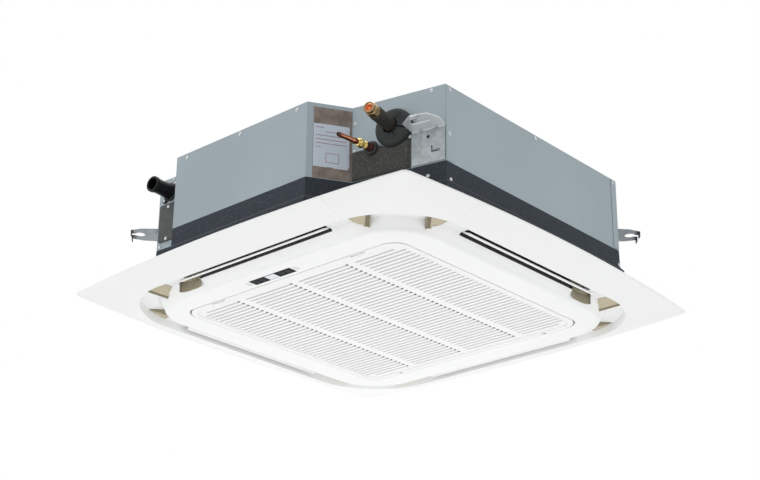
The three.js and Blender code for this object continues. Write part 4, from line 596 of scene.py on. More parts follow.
def loft(rings, hoop=False):
    """Skins rings of equal length. A hoop's last ring meets its first; else the ends are capped."""
    count = len(rings[0])
    points = [point for ring in rings for point in ring]
    faces = []
    for r in range(len(rings) if hoop else len(rings) - 1):
        start = r * count
        stop = ((r + 1) % len(rings)) * count
        for i in range(count):
            j = (i + 1) % count
            faces.append((start + i, start + j, stop + j, stop + i))
    if not hoop:
        faces.append(tuple(reversed(range(count))))
        faces.append(tuple(range(len(points) - count, len(points))))
    return Form(points, faces)


def lathe(profile, steps=48):
    """Turns a profile of (radius, z) about Z. A profile off the axis closes on itself."""
    rings = []
    for i in range(steps):
        turn = 2 * math.pi * i / steps
        rings.append([(r * math.cos(turn), r * math.sin(turn), z) for r, z in profile])
    return loft(rings, hoop=True)


def block(x0, x1, y0, y1, z0, z1):
    low = [(x0, y0, z0), (x1, y0, z0), (x1, y1, z0), (x0, y1, z0)]
    high = [(x, y, z1) for x, y, _ in low]
    return loft([low, high])


# %% From a form to a Blender object
def mesh_object(name, form):
    mesh = bpy.data.meshes.new(name)
    mesh.from_pydata([p * MM for p in form.points], [], form.faces)
    shape = bmesh.new()
    shape.from_mesh(mesh)
    bmesh.ops.remove_doubles(shape, verts=shape.verts, dist=2e-6)
    bmesh.ops.dissolve_degenerate(shape, edges=shape.edges, dist=1e-6)
    bmesh.ops.recalc_face_normals(shape, faces=shape.faces)
    shape.to_mesh(mesh)
    shape.free()
    made = bpy.data.objects.new(name, mesh)
    bpy.context.scene.collection.objects.link(made)
    return made


def form_of(made):
    """Takes an object's mesh back as a form, and removes the object."""
    faces = [tuple(p.vertices) for p in made.data.polygons]
    form = Form([v.co / MM for v in made.data.vertices], faces)
    bpy.data.objects.remove(made)
    return form


def apply_modifier(target, kind, **settings):
    modifier = target.modifiers.new(kind.lower(), kind)
    for setting, value in settings.items():
        setattr(modifier, setting, value)
    bpy.context.view_layer.objects.active = target
    bpy.ops.object.modifier_apply(modifier=modifier.name)


def carve(target, tool, operation="DIFFERENCE"):
    """Cuts a form or another object out of an object, or keeps only what they share."""
    if isinstance(tool, Form):
        tool = mesh_object("cutter", tool)
    apply_modifier(target, "BOOLEAN", object=tool, operation=operation, solver="EXACT")
    bpy.data.objects.remove(tool)
    return target


def dress(target, finish, body, bevel=0.0, sharp=32.0, stands_for=()):
    """The last steps of every piece: rounded edges, shading, finish, body and slot."""
    if bevel:
        apply_modifier(target, "BEVEL", width=bevel * MM, segments=2, limit_method="ANGLE",
                       angle_limit=math.radians(40), harden_normals=False)
    mesh = target.data
    mesh.polygons.foreach_set("use_smooth", [True] * len(mesh.polygons))
    mesh.set_sharp_from_angle(angle=math.radians(sharp))
    apply_modifier(target, "WEIGHTED_NORMAL", keep_sharp=True)
    mesh.materials.clear()
    mesh.materials.append(finish)
    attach(target, body)
    if stands_for:
        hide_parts(*stands_for)
    return target


def piece(name, form, finish, body, bevel=0.0, sharp=32.0, stands_for=()):
    """A finished object straight from a form."""
    return dress(mesh_object(name, form), finish, body, bevel, sharp, stands_for)

# %% [markdown]
# ## The panel
# The panel is one injection moulding about 950 mm square. Its outer frame is gently crowned,
# an air channel runs round the raised island in the middle, and four long slots let the air
# out. The CAD solid has this section with few facets, so here the same section is skinned
# again with many points round it, and the openings are cut afterwards with booleans.

# %% Sizes of the panel's section
PANEL_HALF = 450.0
PANEL_BOW = 25.0
PANEL_CORNER_R = 10.0
RIM_DEPTH = 3.5
LIP_HALF = 403.0
LIP_CORNER_R = 165.0
LIP_Z = -24.0
ROOF_Z = -10.0
ROOF_OUTER = 397.0
ROOF_INNER = 363.0
ROOF_WALL = 3.0
ISLAND_HALF = 352.0
ISLAND_Z = -35.5
ISLAND_ROUND = 8.0
ISLAND_WALL = 3.0
GRILLE_HALF = 290.0
GRILLE_GAP = 1.3
GRILLE_CORNER_R = 34.0
LIP_HEIGHT = 14.0
FLANGE_MID_Z = -15.5
COVER_SEAM = 262.0
COVER_SKIN = 1.8
GAP = 0.3
SIDE_STEPS = 16
CORNER_STEPS = 18


def rounded_square(half, radius, bow=0.0):
    """A square with round corners, counter-clockwise, whose sides may bow outwards."""
    points = []
    flat = half - radius
    for side in range(4):
        turn = Matrix.Rotation(side * math.pi / 2, 2)
        for i in range(SIDE_STEPS):
            x = flat * (2 * i / SIDE_STEPS - 1)
            points.append(turn @ Vector((x, -half - bow * (1 - (x / half) ** 2))))
        for i in range(CORNER_STEPS):
            angle = -math.pi / 2 * (1 - i / CORNER_STEPS)
            x, y = flat + radius * math.cos(angle), -flat + radius * math.sin(angle)
            points.append(turn @ Vector((x, y)))
    return points


def at_height(outline, z):
    return [(p.x, p.y, z) for p in outline]


def rim(inset, z):
    bow = PANEL_BOW * (1 - inset / 60)
    return at_height(rounded_square(PANEL_HALF - inset, PANEL_CORNER_R, bow), z)


def lip(grow, z):
    return at_height(rounded_square(LIP_HALF + grow, LIP_CORNER_R + grow), z)


def island(half, z):
    return at_height(rounded_square(half, LIP_CORNER_R - (LIP_HALF - half)), z)


def mouth(grow, z):
    half = GRILLE_HALF + GRILLE_GAP + grow
    return at_height(rounded_square(half, GRILLE_CORNER_R + grow), z)


def flange(share, z):
    """A ring part of the way from the inner lip to the rim."""
    inner = rounded_square(LIP_HALF + 3, LIP_CORNER_R + 3)
    outer = rounded_square(PANEL_HALF, PANEL_CORNER_R, PANEL_BOW)
    return [(*a.lerp(b, share), z) for a, b in zip(inner, outer)]


def crown(share):
    """Height of the frame's gently crowned underside, from the lip (0) to the rim (1)."""
    lip_z, rim_z = LIP_Z, -RIM_DEPTH
    return (lip_z * (2 * share - 1) * (share - 1) + FLANGE_MID_Z * 4 * share * (1 - share)
            + rim_z * share * (2 * share - 1))


# %% The panel's section, ring by ring
CROWN_STEPS = 7
ROUND_STEPS = 6


def crowned_rings(lift):
    """The frame's crowned underside, from near the rim to near the lip."""
    shares = [1 - i / CROWN_STEPS for i in range(1, CROWN_STEPS)]
    return [flange(share, crown(share) + lift) for share in shares]


def panel_rings():
    roof_top = ROOF_Z + ROOF_WALL
    island_top = ISLAND_Z + ISLAND_WALL
    upstand_top = ISLAND_Z + LIP_HEIGHT
    # The rim's edge and the crowned frame.
    rings = [rim(0, 0), rim(0, -RIM_DEPTH + 1.2), rim(0.35, -RIM_DEPTH + 0.35)]
    rings += [rim(1.2, -RIM_DEPTH), *crowned_rings(0)]
    # Round the lip and up into the channel.
    rings += [lip(3, LIP_Z), lip(1.6, LIP_Z - 0.55), lip(0.6, LIP_Z - 0.35), lip(-0.4, LIP_Z + 1)]
    rings += [lip(-3, ROOF_Z - 4), lip(-4.5, ROOF_Z - 1), lip(ROOF_OUTER - LIP_HALF - 4, ROOF_Z)]
    # Down the island's slope and round its edge.
    rings += [island(ROOF_INNER + 4, ROOF_Z), island(ROOF_INNER + 1, ROOF_Z - 0.7),
              island(ROOF_INNER - 1, ROOF_Z - 3)]
    for i in range(ROUND_STEPS + 1):
        angle = (i / ROUND_STEPS) * math.pi / 2
        half = ISLAND_HALF - ISLAND_ROUND * (1 - math.cos(angle))
        rings.append(island(half, ISLAND_Z + ISLAND_ROUND * (1 - math.sin(angle))))
    # The upstand round the grille, and back over the top.
    rings += [mouth(2.2, ISLAND_Z), mouth(0.8, ISLAND_Z + 0.3), mouth(0, ISLAND_Z + 1.6)]
    rings += [mouth(0, upstand_top), mouth(ISLAND_WALL, upstand_top)]
    rings += [mouth(ISLAND_WALL, island_top), island(ISLAND_HALF - ISLAND_ROUND, island_top)]
    rings += [island(ROOF_INNER - ISLAND_WALL - 1, roof_top), lip(1, roof_top)]
    rings += [lip(4.5, roof_top - 5), lip(7, LIP_Z + 7)]
    return rings + [flange(0.5, FLANGE_MID_Z + 6), flange(0.93, 0)]


def cover_skin(depth, below):
    """The outer skin of the frame, as thick as a corner cover."""
    rings = [rim(0.4, -RIM_DEPTH + depth), rim(0.4, -RIM_DEPTH - below + 0.3)]
    rings += [rim(1.0, -RIM_DEPTH - below), *crowned_rings(-below)]
    rings += [lip(3, LIP_Z - below), lip(3, LIP_Z + depth + 0.4)]
    return loft(rings + crowned_rings(depth)[::-1], hoop=True)


# %% Openings in the panel
SLOT_HALF = 195.0
SLOT_INNER = 356.0
SLOT_OUTER = 398.0
SLOT_DIP = 4.5
SCOOP_OUT = 360.0
SCOOP_HALF_LENGTH = 31.0
SCOOP_HALF_WIDTH = 10.0
BRIDGE_HALF = 50.0
OPENING_END = 41.0
CORNER_CENTRE = LIP_HALF - LIP_CORNER_R
OPENING_NEAR = ISLAND_HALF + 1 - CORNER_CENTRE
OPENING_FAR = ROOF_OUTER + 1 - CORNER_CENTRE
MOTOR_ENDS = (-1, 1, 1, -1)
DISPLAY_CENTRE_X = -10.0
DISPLAY_LENGTH = 111.0
DISPLAY_WIDTH = 22.0
DISPLAY_OUT = 312.0
DISPLAY_DEPTH = 2.0
LATCH_X = 190.0
CUT_TOP = 20.0
OPENING_STEPS = 8


def four_sides(form):
    return sum((form.turned(90 * side) for side in range(4)), Form())


def corner_opening(side, end, foot, foot_end, near=OPENING_NEAR, far=OPENING_FAR, top=CUT_TOP,
                   start_gap=0.0, outer_foot=None):
    """An opening in the channel beside the bridge: its foot climbs away from the bridge.
    The end is in degrees from the diagonal, or in millimetres from the bridge as a tuple."""
    inner, outer = [], []
    for i in range(OPENING_STEPS + 1):
        share = i / OPENING_STEPS
        for radius, row in ((near, inner), (far, outer)):
            start = math.asin((BRIDGE_HALF + start_gap) / radius)
            if isinstance(end, tuple):
                stop = math.asin((BRIDGE_HALF + end[0]) / radius)
            else:
                stop = math.radians(end)
            angle = side * (start + (stop - start) * share) - math.pi / 4
            level = foot + (foot_end - foot) * share
            if row is outer and outer_foot is not None:
                level = outer_foot
            row.append((CORNER_CENTRE + radius * math.cos(angle),
                        -CORNER_CENTRE + radius * math.sin(angle), level))
    ring = outer + inner[::-1]
    return loft([ring, [(x, y, top) for x, y, _ in ring]])


def corner_openings(*sizes, **options):
    return sum((four_sides(corner_opening(side, *sizes, **options)) for side in (-1, 1)), Form())


def scoop_outline(grow, steps=40):
    outline = []
    for i in range(steps):
        turn = 2 * math.pi * i / steps
        outline.append((-SLOT_HALF + (SCOOP_HALF_LENGTH + grow) * math.cos(turn),
                        -SCOOP_OUT + (SCOOP_HALF_WIDTH + grow) * math.sin(turn)))
    return outline


def scoop(grow, z0, z1):
    """The oval opening at a louvre's motor end."""
    return loft([[(x, y, z) for x, y in scoop_outline(grow)] for z in (z0, z1)])


def motor_end_copies(form):
    copies = Form()
    for side, end in enumerate(MOTOR_ENDS):
        turned = form if end < 0 else form.moved(Matrix.Scale(-1, 4, (1, 0, 0)))
        copies += turned.turned(90 * side)
    return copies


def corner_block(seam):
    return block(seam, 500, -500, -seam, -60, 20)


def latch_window(x):
    """The hole in the upstand that a latch's tongue enters."""
    outside = GRILLE_HALF + GRILLE_GAP + ISLAND_WALL + 2
    return block(x - 8, x + 8, -outside, -GRILLE_HALF + 2, ISLAND_Z + 8.4, ISLAND_Z + 13.4)


# %% Cut the panel and its four corner covers
panel = mesh_object("panel_moulding", loft(panel_rings(), hoop=True))
slot_foot = ROOF_Z - SLOT_DIP
slot = block(-SLOT_HALF, SLOT_HALF, -SLOT_OUTER, -SLOT_INNER, slot_foot, CUT_TOP)
carve(panel, four_sides(slot))
carve(panel, corner_openings(OPENING_END, ISLAND_Z + ISLAND_ROUND + 1, ROOF_Z - 1))
carve(panel, motor_end_copies(scoop(0, ISLAND_Z + ISLAND_ROUND, CUT_TOP)))
cover_beds = mesh_object("cover_beds", cover_skin(COVER_SKIN + 0.2, 3))
carve(cover_beds, four_sides(corner_block(COVER_SEAM - GAP)), "INTERSECT")
carve(panel, cover_beds)
display_x, display_y = DISPLAY_LENGTH / 2 + GAP, DISPLAY_WIDTH / 2 + GAP
recess = block(DISPLAY_CENTRE_X - display_x, DISPLAY_CENTRE_X + display_x,
               -DISPLAY_OUT - display_y, -DISPLAY_OUT + display_y,
               ISLAND_Z - 5, ISLAND_Z + DISPLAY_DEPTH)
carve(panel, latch_window(-LATCH_X) + latch_window(LATCH_X) + recess)
dress(panel, PANEL_WHITE, "unit", stands_for=["panel_frame"])
print("panel:", len(panel.data.polygons), "faces")

for corner, name in enumerate(named("corner_cover_{}", CORNERS)):
    cover = mesh_object(name + "_moulding", cover_skin(COVER_SKIN, 0))
    carve(cover, corner_block(COVER_SEAM).turned(90 * corner), "INTERSECT")
    dress(cover, PANEL_WHITE, "unit", stands_for=[name])
print("corner covers:", CORNERS)

# %% [markdown]
# ## What shows inside the openings
# Light only reaches a little way into the openings, so its shade is painted into colours:
# warm cream foam at the corners with a return and an edge beside the bridge in cream
# darkened as painted shade, a dark ribbed lining painted as the shade in the long slots, and a
# hood over the gears at one end of each louvre in cream darkened as painted shade. Each is a
# closed form that sits in the channel, so nothing depends on how deep the light gets.

# %% Cream pockets, their reveals and edges
POCKET_TOP = ROOF_Z + 2.9
POCKET = {"near": OPENING_NEAR + 0.6, "far": OPENING_FAR - 0.6, "top": POCKET_TOP}

pockets = corner_openings(40.4, -24.5, -11.5, start_gap=9.5, outer_foot=ROOF_Z + 0.6, **POCKET)
piece("corner_pockets", pockets, CREAM_FOAM, "unit", bevel=0.3)
# The reveal beside the bridge is cream darkened as painted shade.
reveals = corner_openings((9.2,), -24.2, -23.2, start_gap=3.2, outer_foot=ROOF_Z + 1.2, **POCKET)
piece("corner_reveals", reveals, CREAM_DEEP_SHADE, "unit", bevel=0.3)
# The narrow edge at the bridge is cream darkened as painted shade.
edges = corner_openings((3.0,), -25.5, -25.0, start_gap=0.3, outer_foot=ROOF_Z + 0.3, **POCKET)
piece("corner_edges", edges, CREAM_SHADE, "unit", bevel=0.2)

# %% Slot linings and scoop hoods
LINING_X = SLOT_HALF - 0.2
LINING_TOP = 9.5
SCOOP_END_X = -SLOT_HALF + SCOOP_HALF_LENGTH + 1
HOOD_REACH = 1.4
HOOD_SECTION = [(-0.3, -27.2), (-0.3, -3.0), (-1.6, -4.6), (-2.2, -7.5), (-1.7, -14), (-1.4, -27.2)]

# Dark plates painted as the shade deep in the long slots.
linings = block(SCOOP_END_X, LINING_X, -357.1, -356.1, ROOF_Z - 4.5, LINING_TOP)
linings += block(-LINING_X, LINING_X, -397.9, -396.9, ROOF_Z + 0.4, LINING_TOP)
piece("slot_linings", motor_end_copies(linings), SLOT_SHADE, "unit")

# The hood's cream is darkened as painted shade.
hood_rings = [[(x, y, z) for x, y in scoop_outline(grow)] for grow, z in HOOD_SECTION]
hood = mesh_object("scoop_hoods", motor_end_copies(loft(hood_rings, hoop=True)))
carve(hood, four_sides(block(-260, 260, -420, -SCOOP_OUT - HOOD_REACH, -40, CUT_TOP)))
dress(hood, CREAM_SHADE, "unit", bevel=0.2)

# %% [markdown]
# ## Louvres
# A louvre is a thin blade, a little crowned, on two end arms that turn on pins. The blade's
# section is drawn closed and skinned along its length with a rounded nose, then turned to the
# angle at which it rests.

# %% Four louvre blades
LOUVRE_OUT, LOUVRE_Z = 372.0, -2.0
LOUVRE_REST = 31.6
LOUVRE_HALF = SLOT_HALF - 1
LOUVRE_BACK = 6.0
LOUVRE_REACH = 24.0
LOUVRE_DROP = 7.3
BLADE_CROWN = 1.2
BLADE_HALF_THICKNESS = 1.2
NOSE_HALF_THICKNESS = 2.5
BLADE_STEPS = 14
ARM_THICKNESS = 3


def blade_section():
    """The blade's closed section: crowned, thickening to a nose, thin at both edges."""
    top, bottom = [], []
    for i in range(BLADE_STEPS + 1):
        share = i / BLADE_STEPS
        y = LOUVRE_BACK - (LOUVRE_BACK + LOUVRE_REACH) * share
        z = -LOUVRE_DROP - BLADE_CROWN * math.sin(math.pi * share)
        full = BLADE_HALF_THICKNESS + (NOSE_HALF_THICKNESS - BLADE_HALF_THICKNESS) * share**1.5
        thin = full * min(1.0, 0.30 + 2.4 * min(share, 1 - share) ** 0.6)
        top.append((y, z + thin))
        bottom.insert(0, (y, z - thin))
    return top + bottom


def along_x(outline, stops):
    """Skins an outline in Y and Z along stops on X."""
    return loft([[(x, y, z) for y, z in outline] for x in stops])


blade = along_x(blade_section(), (-LOUVRE_HALF, -LOUVRE_HALF / 3, LOUVRE_HALF / 3, LOUVRE_HALF))
arm = [(-4, -LOUVRE_DROP), (4, -LOUVRE_DROP), (4, -1), (2.5, 2), (0, 2.9), (-2.5, 2), (-4, -1)]
pivot = lathe([(0.6, 0), (2, 0), (2, 8), (1.5, 8.6), (0.6, 8.6)], 20)
for end in (-1, 1):
    blade += along_x(arm, (end * (LOUVRE_HALF - ARM_THICKNESS), end * LOUVRE_HALF))
    blade += pivot.moved(Matrix.Translation((end * (LOUVRE_HALF - 1), 0, 0))
                         @ Matrix.Rotation(end * math.pi / 2, 4, "Y"))
resting = (Matrix.Translation((0, -LOUVRE_OUT, LOUVRE_Z))
           @ Matrix.Rotation(math.radians(LOUVRE_REST), 4, "X"))
for side, name in enumerate(named("louvre_{}", SIDES)):
    form = blade.moved(resting).turned(90 * side)
    piece(name + "_blade", form, LOUVRE_WHITE, name, sharp=40, stands_for=[name])
print("louvres rest", LOUVRE_REST, "degrees open")

# %% [markdown]
# ## Grille
# The intake grille is one square moulding: a rim with a fine bead round the field, three ribs,
# and rows of slats that lean so that nobody sees the filter. At the rib end of each slot the
# mould opens straight up, which shows as a row of dark dots. A solid plate carved by leaning
# slots gives this in one boolean.

# %% Carve the grille
GRILLE_DEPTH = 8.0
GRILLE_TOP = ISLAND_Z + GRILLE_DEPTH
GRILLE_RIM = 16.0
SLAT_PITCH = 13.3
SLAT_COUNT = 40
SLAT_OPENING = 5.5
SLAT_LEAN = 6.0
RIB_PITCH = 149.0
RIB_WIDTH = 17.0
BAYS = (-2, -1, 0, 1)
DOT = 5.2
DOT_BELOW, DOT_ABOVE = 2.9, 3.4


def grille_ring(inset, z):
    return at_height(rounded_square(GRILLE_HALF - inset, GRILLE_CORNER_R + 3 - inset), z)


def slat_slot(x0, x1, y):
    """One leaning slot. Its -X end is round, because the mould's blade is ground so."""
    half = SLAT_OPENING / 2
    rings = []
    for z in (ISLAND_Z - 2, GRILLE_TOP + 2):
        middle = y - SLAT_LEAN * (z - ISLAND_Z - GRILLE_DEPTH / 2) / GRILLE_DEPTH
        ring = [(x1, middle - half, z), (x1, middle + half, z)]
        for i in range(7):
            turn = math.pi / 2 + math.pi * i / 6
            ring.append((x0 + half + half * math.cos(turn), middle + half * math.sin(turn), z))
        rings.append(ring)
    return loft(rings)


grille = mesh_object("grille_moulding", loft([
    grille_ring(1.6, ISLAND_Z - 0.5), grille_ring(0.5, ISLAND_Z - 0.2),
    grille_ring(0, ISLAND_Z + 0.8), grille_ring(0, GRILLE_TOP)]))
carve(grille, loft([grille_ring(11, ISLAND_Z - 2), grille_ring(12.2, ISLAND_Z + 1)]))
slots, dots, throat_shade_blocks = Form(), Form(), Form()
for row in range(SLAT_COUNT):
    y = (row - (SLAT_COUNT - 1) / 2) * SLAT_PITCH
    in_corner = abs(y) > GRILLE_HALF - GRILLE_CORNER_R - 8
    edge = GRILLE_CORNER_R if in_corner else GRILLE_RIM
    for bay in BAYS:
        x0 = -GRILLE_HALF + edge if bay == BAYS[0] else bay * RIB_PITCH + RIB_WIDTH / 2
        x1 = GRILLE_HALF - edge if bay == BAYS[-1] else (bay + 1) * RIB_PITCH - RIB_WIDTH / 2
        slots += slat_slot(x0, x1, y)
        if bay != BAYS[-1]:
            dots += block(x1 - DOT, x1 - 0.01, y - DOT_BELOW, y + DOT_ABOVE,
                          ISLAND_Z - 3, GRILLE_TOP + 3)
            throat_shade_blocks += block(x1 - DOT + 0.2, x1 - 0.2, y - DOT_BELOW + 0.1, y + DOT_ABOVE - 0.1,
                             ISLAND_Z + 1.3, GRILLE_TOP - 0.3)
carve(grille, slots)
carve(grille, dots)
# A dark block painted as the shade in the throat behind each dot.
piece("slot_throats", throat_shade_blocks, THROAT_SHADE, "grille")

# %% Hinge notches, latch recesses and pins
HINGE_X = 200.0
HINGE_Y = GRILLE_HALF - 4
HINGE_Z = ISLAND_Z + 3
LATCH_NECK = GRILLE_HALF - 12
LATCH_REACH = GRILLE_HALF - 1.5
CUT_FOOT, CUT_HEAD = -45, -20

for sign in (-1, 1):
    hinge, catch = sign * HINGE_X, sign * LATCH_X
    notch = block(hinge - 3.7, hinge + 3.7, HINGE_Y - 6, GRILLE_HALF + 5, CUT_FOOT, CUT_HEAD)
    notch += block(catch - 18.5, catch + 18.5, -LATCH_REACH, -LATCH_REACH + 15, CUT_FOOT,
                   ISLAND_Z + 2)
    notch += block(catch - 3.5, catch + 3.5, -LATCH_NECK - 7.2, -LATCH_NECK + 2.2,
                   ISLAND_Z + 1.5, CUT_HEAD)
    carve(grille, notch)
dress(grille, GRILLE_WHITE, "grille", stands_for=["intake_grille"])
pin = lathe([(0.5, -5), (2, -5), (2, 5), (0.5, 5)], 16).turned(90, "Y")
pins = pin.at(-HINGE_X, HINGE_Y, HINGE_Z) + pin.at(HINGE_X, HINGE_Y, HINGE_Z)
piece("grille_pins", pins, STEEL, "grille")

BEAD_INSET, BEAD_R = 13.4, 0.8
turns = [2 * math.pi * i / 8 for i in range(8)]
bead_rings = [grille_ring(BEAD_INSET + BEAD_R * math.cos(turn),
                          ISLAND_Z + 0.9 + BEAD_R * math.sin(turn)) for turn in turns]
piece("grille_bead", loft(bead_rings, hoop=True), GRILLE_WHITE, "grille", sharp=60)
print("grille:", len(grille.data.polygons), "faces,", SLAT_COUNT, "rows of slots")

# %% Ridges on the two slide latches
RIDGE_Y = (-282, -275.5)
for sign, name in ((-1, "latch_left"), (1, "latch_right")):
    ridges = Form()
    for i in range(5):
        x = sign * LATCH_X - 8 + 4 * i
        ridges += loft([[(x - 0.7, y, ISLAND_Z), (x, y, ISLAND_Z - 0.75), (x + 0.7, y, ISLAND_Z)]
                        for y in RIDGE_Y])
    piece(name + "_ridges", ridges, LATCH_WHITE, name)

# %% [markdown]
# ## Display
# A glossy black bar is let into the island beside the grille. It has a milky receiver window
# in the middle and faint round signs on both sides of it. They are plain rings with one mark
# each, so that they stand for any unit's timer, fan, heat and filter lamps. Short grey ticks
# at both ends stand for the fine print there.

# %% Display bar, window and signs
BAR_Y = -DISPLAY_OUT
BAR_FACE = ISLAND_Z - 0.3
BAR_HALF = DISPLAY_LENGTH / 2
SOFTENING = 0.35
SIGN_LIFT = 0.15


def rounded_bar(x0, x1, y0, y1, z0, z1, radius):
    """A flat bar with round corners and a softened lower edge."""
    corners = ((x1 - radius, y0 + radius, -90), (x1 - radius, y1 - radius, 0),
               (x0 + radius, y1 - radius, 90), (x0 + radius, y0 + radius, 180))
    rings = []
    for inset, z in ((SOFTENING, z0), (0, z0 + SOFTENING), (0, z1)):
        ring = []
        for x, y, start in corners:
            for i in range(5):
                turn = math.radians(start + 22.5 * i)
                ring.append((x + (radius - inset) * math.cos(turn),
                             y + (radius - inset) * math.sin(turn), z))
        rings.append(ring)
    return loft(rings)


bar = rounded_bar(DISPLAY_CENTRE_X - BAR_HALF, DISPLAY_CENTRE_X + BAR_HALF,
                  BAR_Y - DISPLAY_WIDTH / 2, BAR_Y + DISPLAY_WIDTH / 2,
                  BAR_FACE, ISLAND_Z + 1.7, 1.6)
piece("display_bar", bar, WINDOW, "unit", stands_for=["display_window"])
milky = rounded_bar(DISPLAY_CENTRE_X - 14, DISPLAY_CENTRE_X + 12, BAR_Y - 10, BAR_Y + 10,
                    BAR_FACE - 0.15, BAR_FACE + 0.5, 1.0)
piece("display_receiver", milky, MILKY, "unit")
sign = lathe([(4.4, 0), (5.9, 0), (5.9, -SIGN_LIFT), (4.4, -SIGN_LIFT)], 28)
sign += block(-0.9, 0.9, -1.8, 2.6, -SIGN_LIFT, 0.1)
signs = sum((sign.at(DISPLAY_CENTRE_X + x, BAR_Y, BAR_FACE) for x in (-45, -27, 26, 43)), Form())
piece("display_signs", signs, ICON_GREY, "unit")
ticks = Form()
for end in (-1, 1):
    x = DISPLAY_CENTRE_X + end * (BAR_HALF + 9)
    for y, half in ((BAR_Y - 6, 4), (BAR_Y - 2, 6), (BAR_Y + 2, 6), (BAR_Y + 6, 4)):
        ticks += block(x - half, x + half, y - 0.8, y + 0.8, ISLAND_Z - 0.12, ISLAND_Z + 0.3)
piece("display_ticks", ticks, PRINT_GREY, "unit")

# %% [markdown]
# ## Walls of the casing
# Most small parts sit on one of the casing's slanting walls. `Wall` knows where a wall starts
# and which way it runs, so that a form can be drawn in simple terms: along the wall, out of
# it, and up.

# %% A wall's own frame
class Wall:
    """A vertical wall, in millimetres: x runs along it, y out of it, z up."""

    def __init__(self, start, stop):
        self.start = Vector((*start, 0.0))
        run = Vector((*stop, 0.0)) - self.start
        self.length = run.length
        self.along = run.normalized()
        self.out = Vector((self.along.y, -self.along.x, 0.0))

    def at(self, along, out, z):
        return self.start + self.along * along + self.out * out + Vector((0, 0, z))

    def frame(self, shift=0.0):
        """Turns (along, out, up) into the model's own axes."""
        columns = Matrix((self.along, self.out, Vector((0, 0, 1)))).transposed().to_4x4()
        return Matrix.Translation(self.at(shift, 0, 0)) @ columns

    def axis(self, along, z):
        """A frame whose Z points straight out of the wall."""
        columns = Matrix((self.along, Vector((0, 0, 1)), self.out)).transposed().to_4x4()
        return Matrix.Translation(self.at(along, 0, z)) @ columns


def aimed(origin, direction):
    """A frame at the origin given, whose Z points in the direction."""
    turn = direction.to_track_quat("Z", "Y").to_matrix().to_4x4()
    return Matrix.Translation(origin) @ turn


CASING_FOOT = 81.0
BODY_TOP = 238.0
PIPE_WALL = Wall((225, -344), (420, -303))
LABEL_WALL = Wall((179, -420), (225, -344))
DRAIN_WALL = Wall((-301, -365), (-225, -362))
LEFT_WALL = Wall((-420, -249), (-301, -365))
RIGHT_WALL = Wall((420, 249), (301, 365))
FAR_WALL = Wall((-301, 365), (-420, 249))
FRONT = Wall((-189, -420), (179, -420))
SIDE = Wall((420, -303), (420, 249))
REAR = Wall((189, 420), (-189, 420))
BACK = Wall((-420, 249), (-420, -249))
print("pipe wall", round(PIPE_WALL.length), "mm, drain wall", round(DRAIN_WALL.length), "mm")

# %% [markdown]
# ## Screws, laps and pressings of the casing
# The casing is screwed together from folded sheets. One pan-head screw with a cross recess is
# carved once, and its mesh is then placed wherever the photograph shows a screw. Where a
# corner sheet laps over its neighbour, a thin strip stands proud by the sheet's thickness.

# %% One screw, many places
SCREW_PROFILE = [(0, 0), (3.7, 0), (3.8, 0.4), (3.4, 1.2), (2.5, 1.9), (1.2, 2.25), (0, 2.35)]
RECESS_HALF_LENGTH, RECESS_HALF_WIDTH = 2.2, 0.45

head = mesh_object("head", lathe(SCREW_PROFILE, 24))
RECESS = (RECESS_HALF_LENGTH, RECESS_HALF_WIDTH)
for along, across in (RECESS, RECESS[::-1]):
    carve(head, block(-along, along, -across, across, 0.9, 4))
SCREW = form_of(head)

# Where each wall has screws: along the wall and up, in millimetres.
screw_places = {
    FRONT: [(30, 228), (184, 230.5), (340, 229)],
    PIPE_WALL: [(170, 230.8), (162, 57.6), (4.8, 144), (5.5, 202), (124.5, 147)],
    DRAIN_WALL: [(36.9, 231), (68, 88), (8, 88)],
    SIDE: [(13, 231), (11, 139), (13, 46.8), (276, 231), (543, 231), (549, 49)],
    REAR: [(12, 231), (189, 231), (366, 231), (366, 139)],
    BACK: [(9, 231), (249, 231), (489, 231), (489, 139)],
}
for wall in (LEFT_WALL, RIGHT_WALL, FAR_WALL):
    screw_places[wall] = [(20, 231), (146, 231)]
screws = Form()
for wall, places in screw_places.items():
    for count, (along, z) in enumerate(places):
        screws += SCREW.turned(37 * count + 11).moved(wall.axis(along, z))
piece("casing_screws", screws, SCREW_STEEL, "unit", sharp=35)
print(sum(len(p) for p in screw_places.values()), "screws on the casing")

# %% Lapped edges and the pressed lid
LAPS = [(SIDE, 0.3, 21), (SIDE, 534, 551.7), (REAR, 0.3, 20), (REAR, 358, 377.7),
        (BACK, 0.3, 20), (BACK, 478, 497.7)]
BEAD_SECTION = [(-6, 0), (-4, 0.9), (-1.5, 1.4), (1.5, 1.4), (4, 0.9), (6, 0)]
BEAD_ENDS = (150, 330)
BEAD_RUN_OUT = 6
LID_RING_R = 118

laps = Form()
for wall, start, stop in LAPS:
    lap = block(start, stop, 0.05, 0.9, CASING_FOOT + 2, BODY_TOP - 1.5)
    laps += lap.moved(wall.frame())
piece("casing_laps", laps, ZINC, "unit", bevel=0.3)

first, last = BEAD_ENDS
bar_rings = []
for x, wide, high in ((first, 0.3, 0.1), (first + BEAD_RUN_OUT, 1, 1),
                      (last - BEAD_RUN_OUT, 1, 1), (last, 0.3, 0.1)):
    bar_rings.append([(x, y * wide, BODY_TOP + z * high) for y, z in BEAD_SECTION])
lid_beads = sum((loft(bar_rings).turned(45 + 90 * turn) for turn in range(4)), Form())
lid_beads += lathe([(LID_RING_R + y, BODY_TOP + z) for y, z in BEAD_SECTION], 96)
piece("lid_pressings", lid_beads, ZINC, "unit", sharp=50)

# %% [markdown]
# ## Sponge, paper and label
# Soft sheets are not flat plates: sponge rounds off at a cut edge and its face is uneven.
# `soft_sheet` builds such a sheet as a closed grid, whose face sinks towards the edges and
# follows a slow noise. The label on the paper is a blank ruled form.

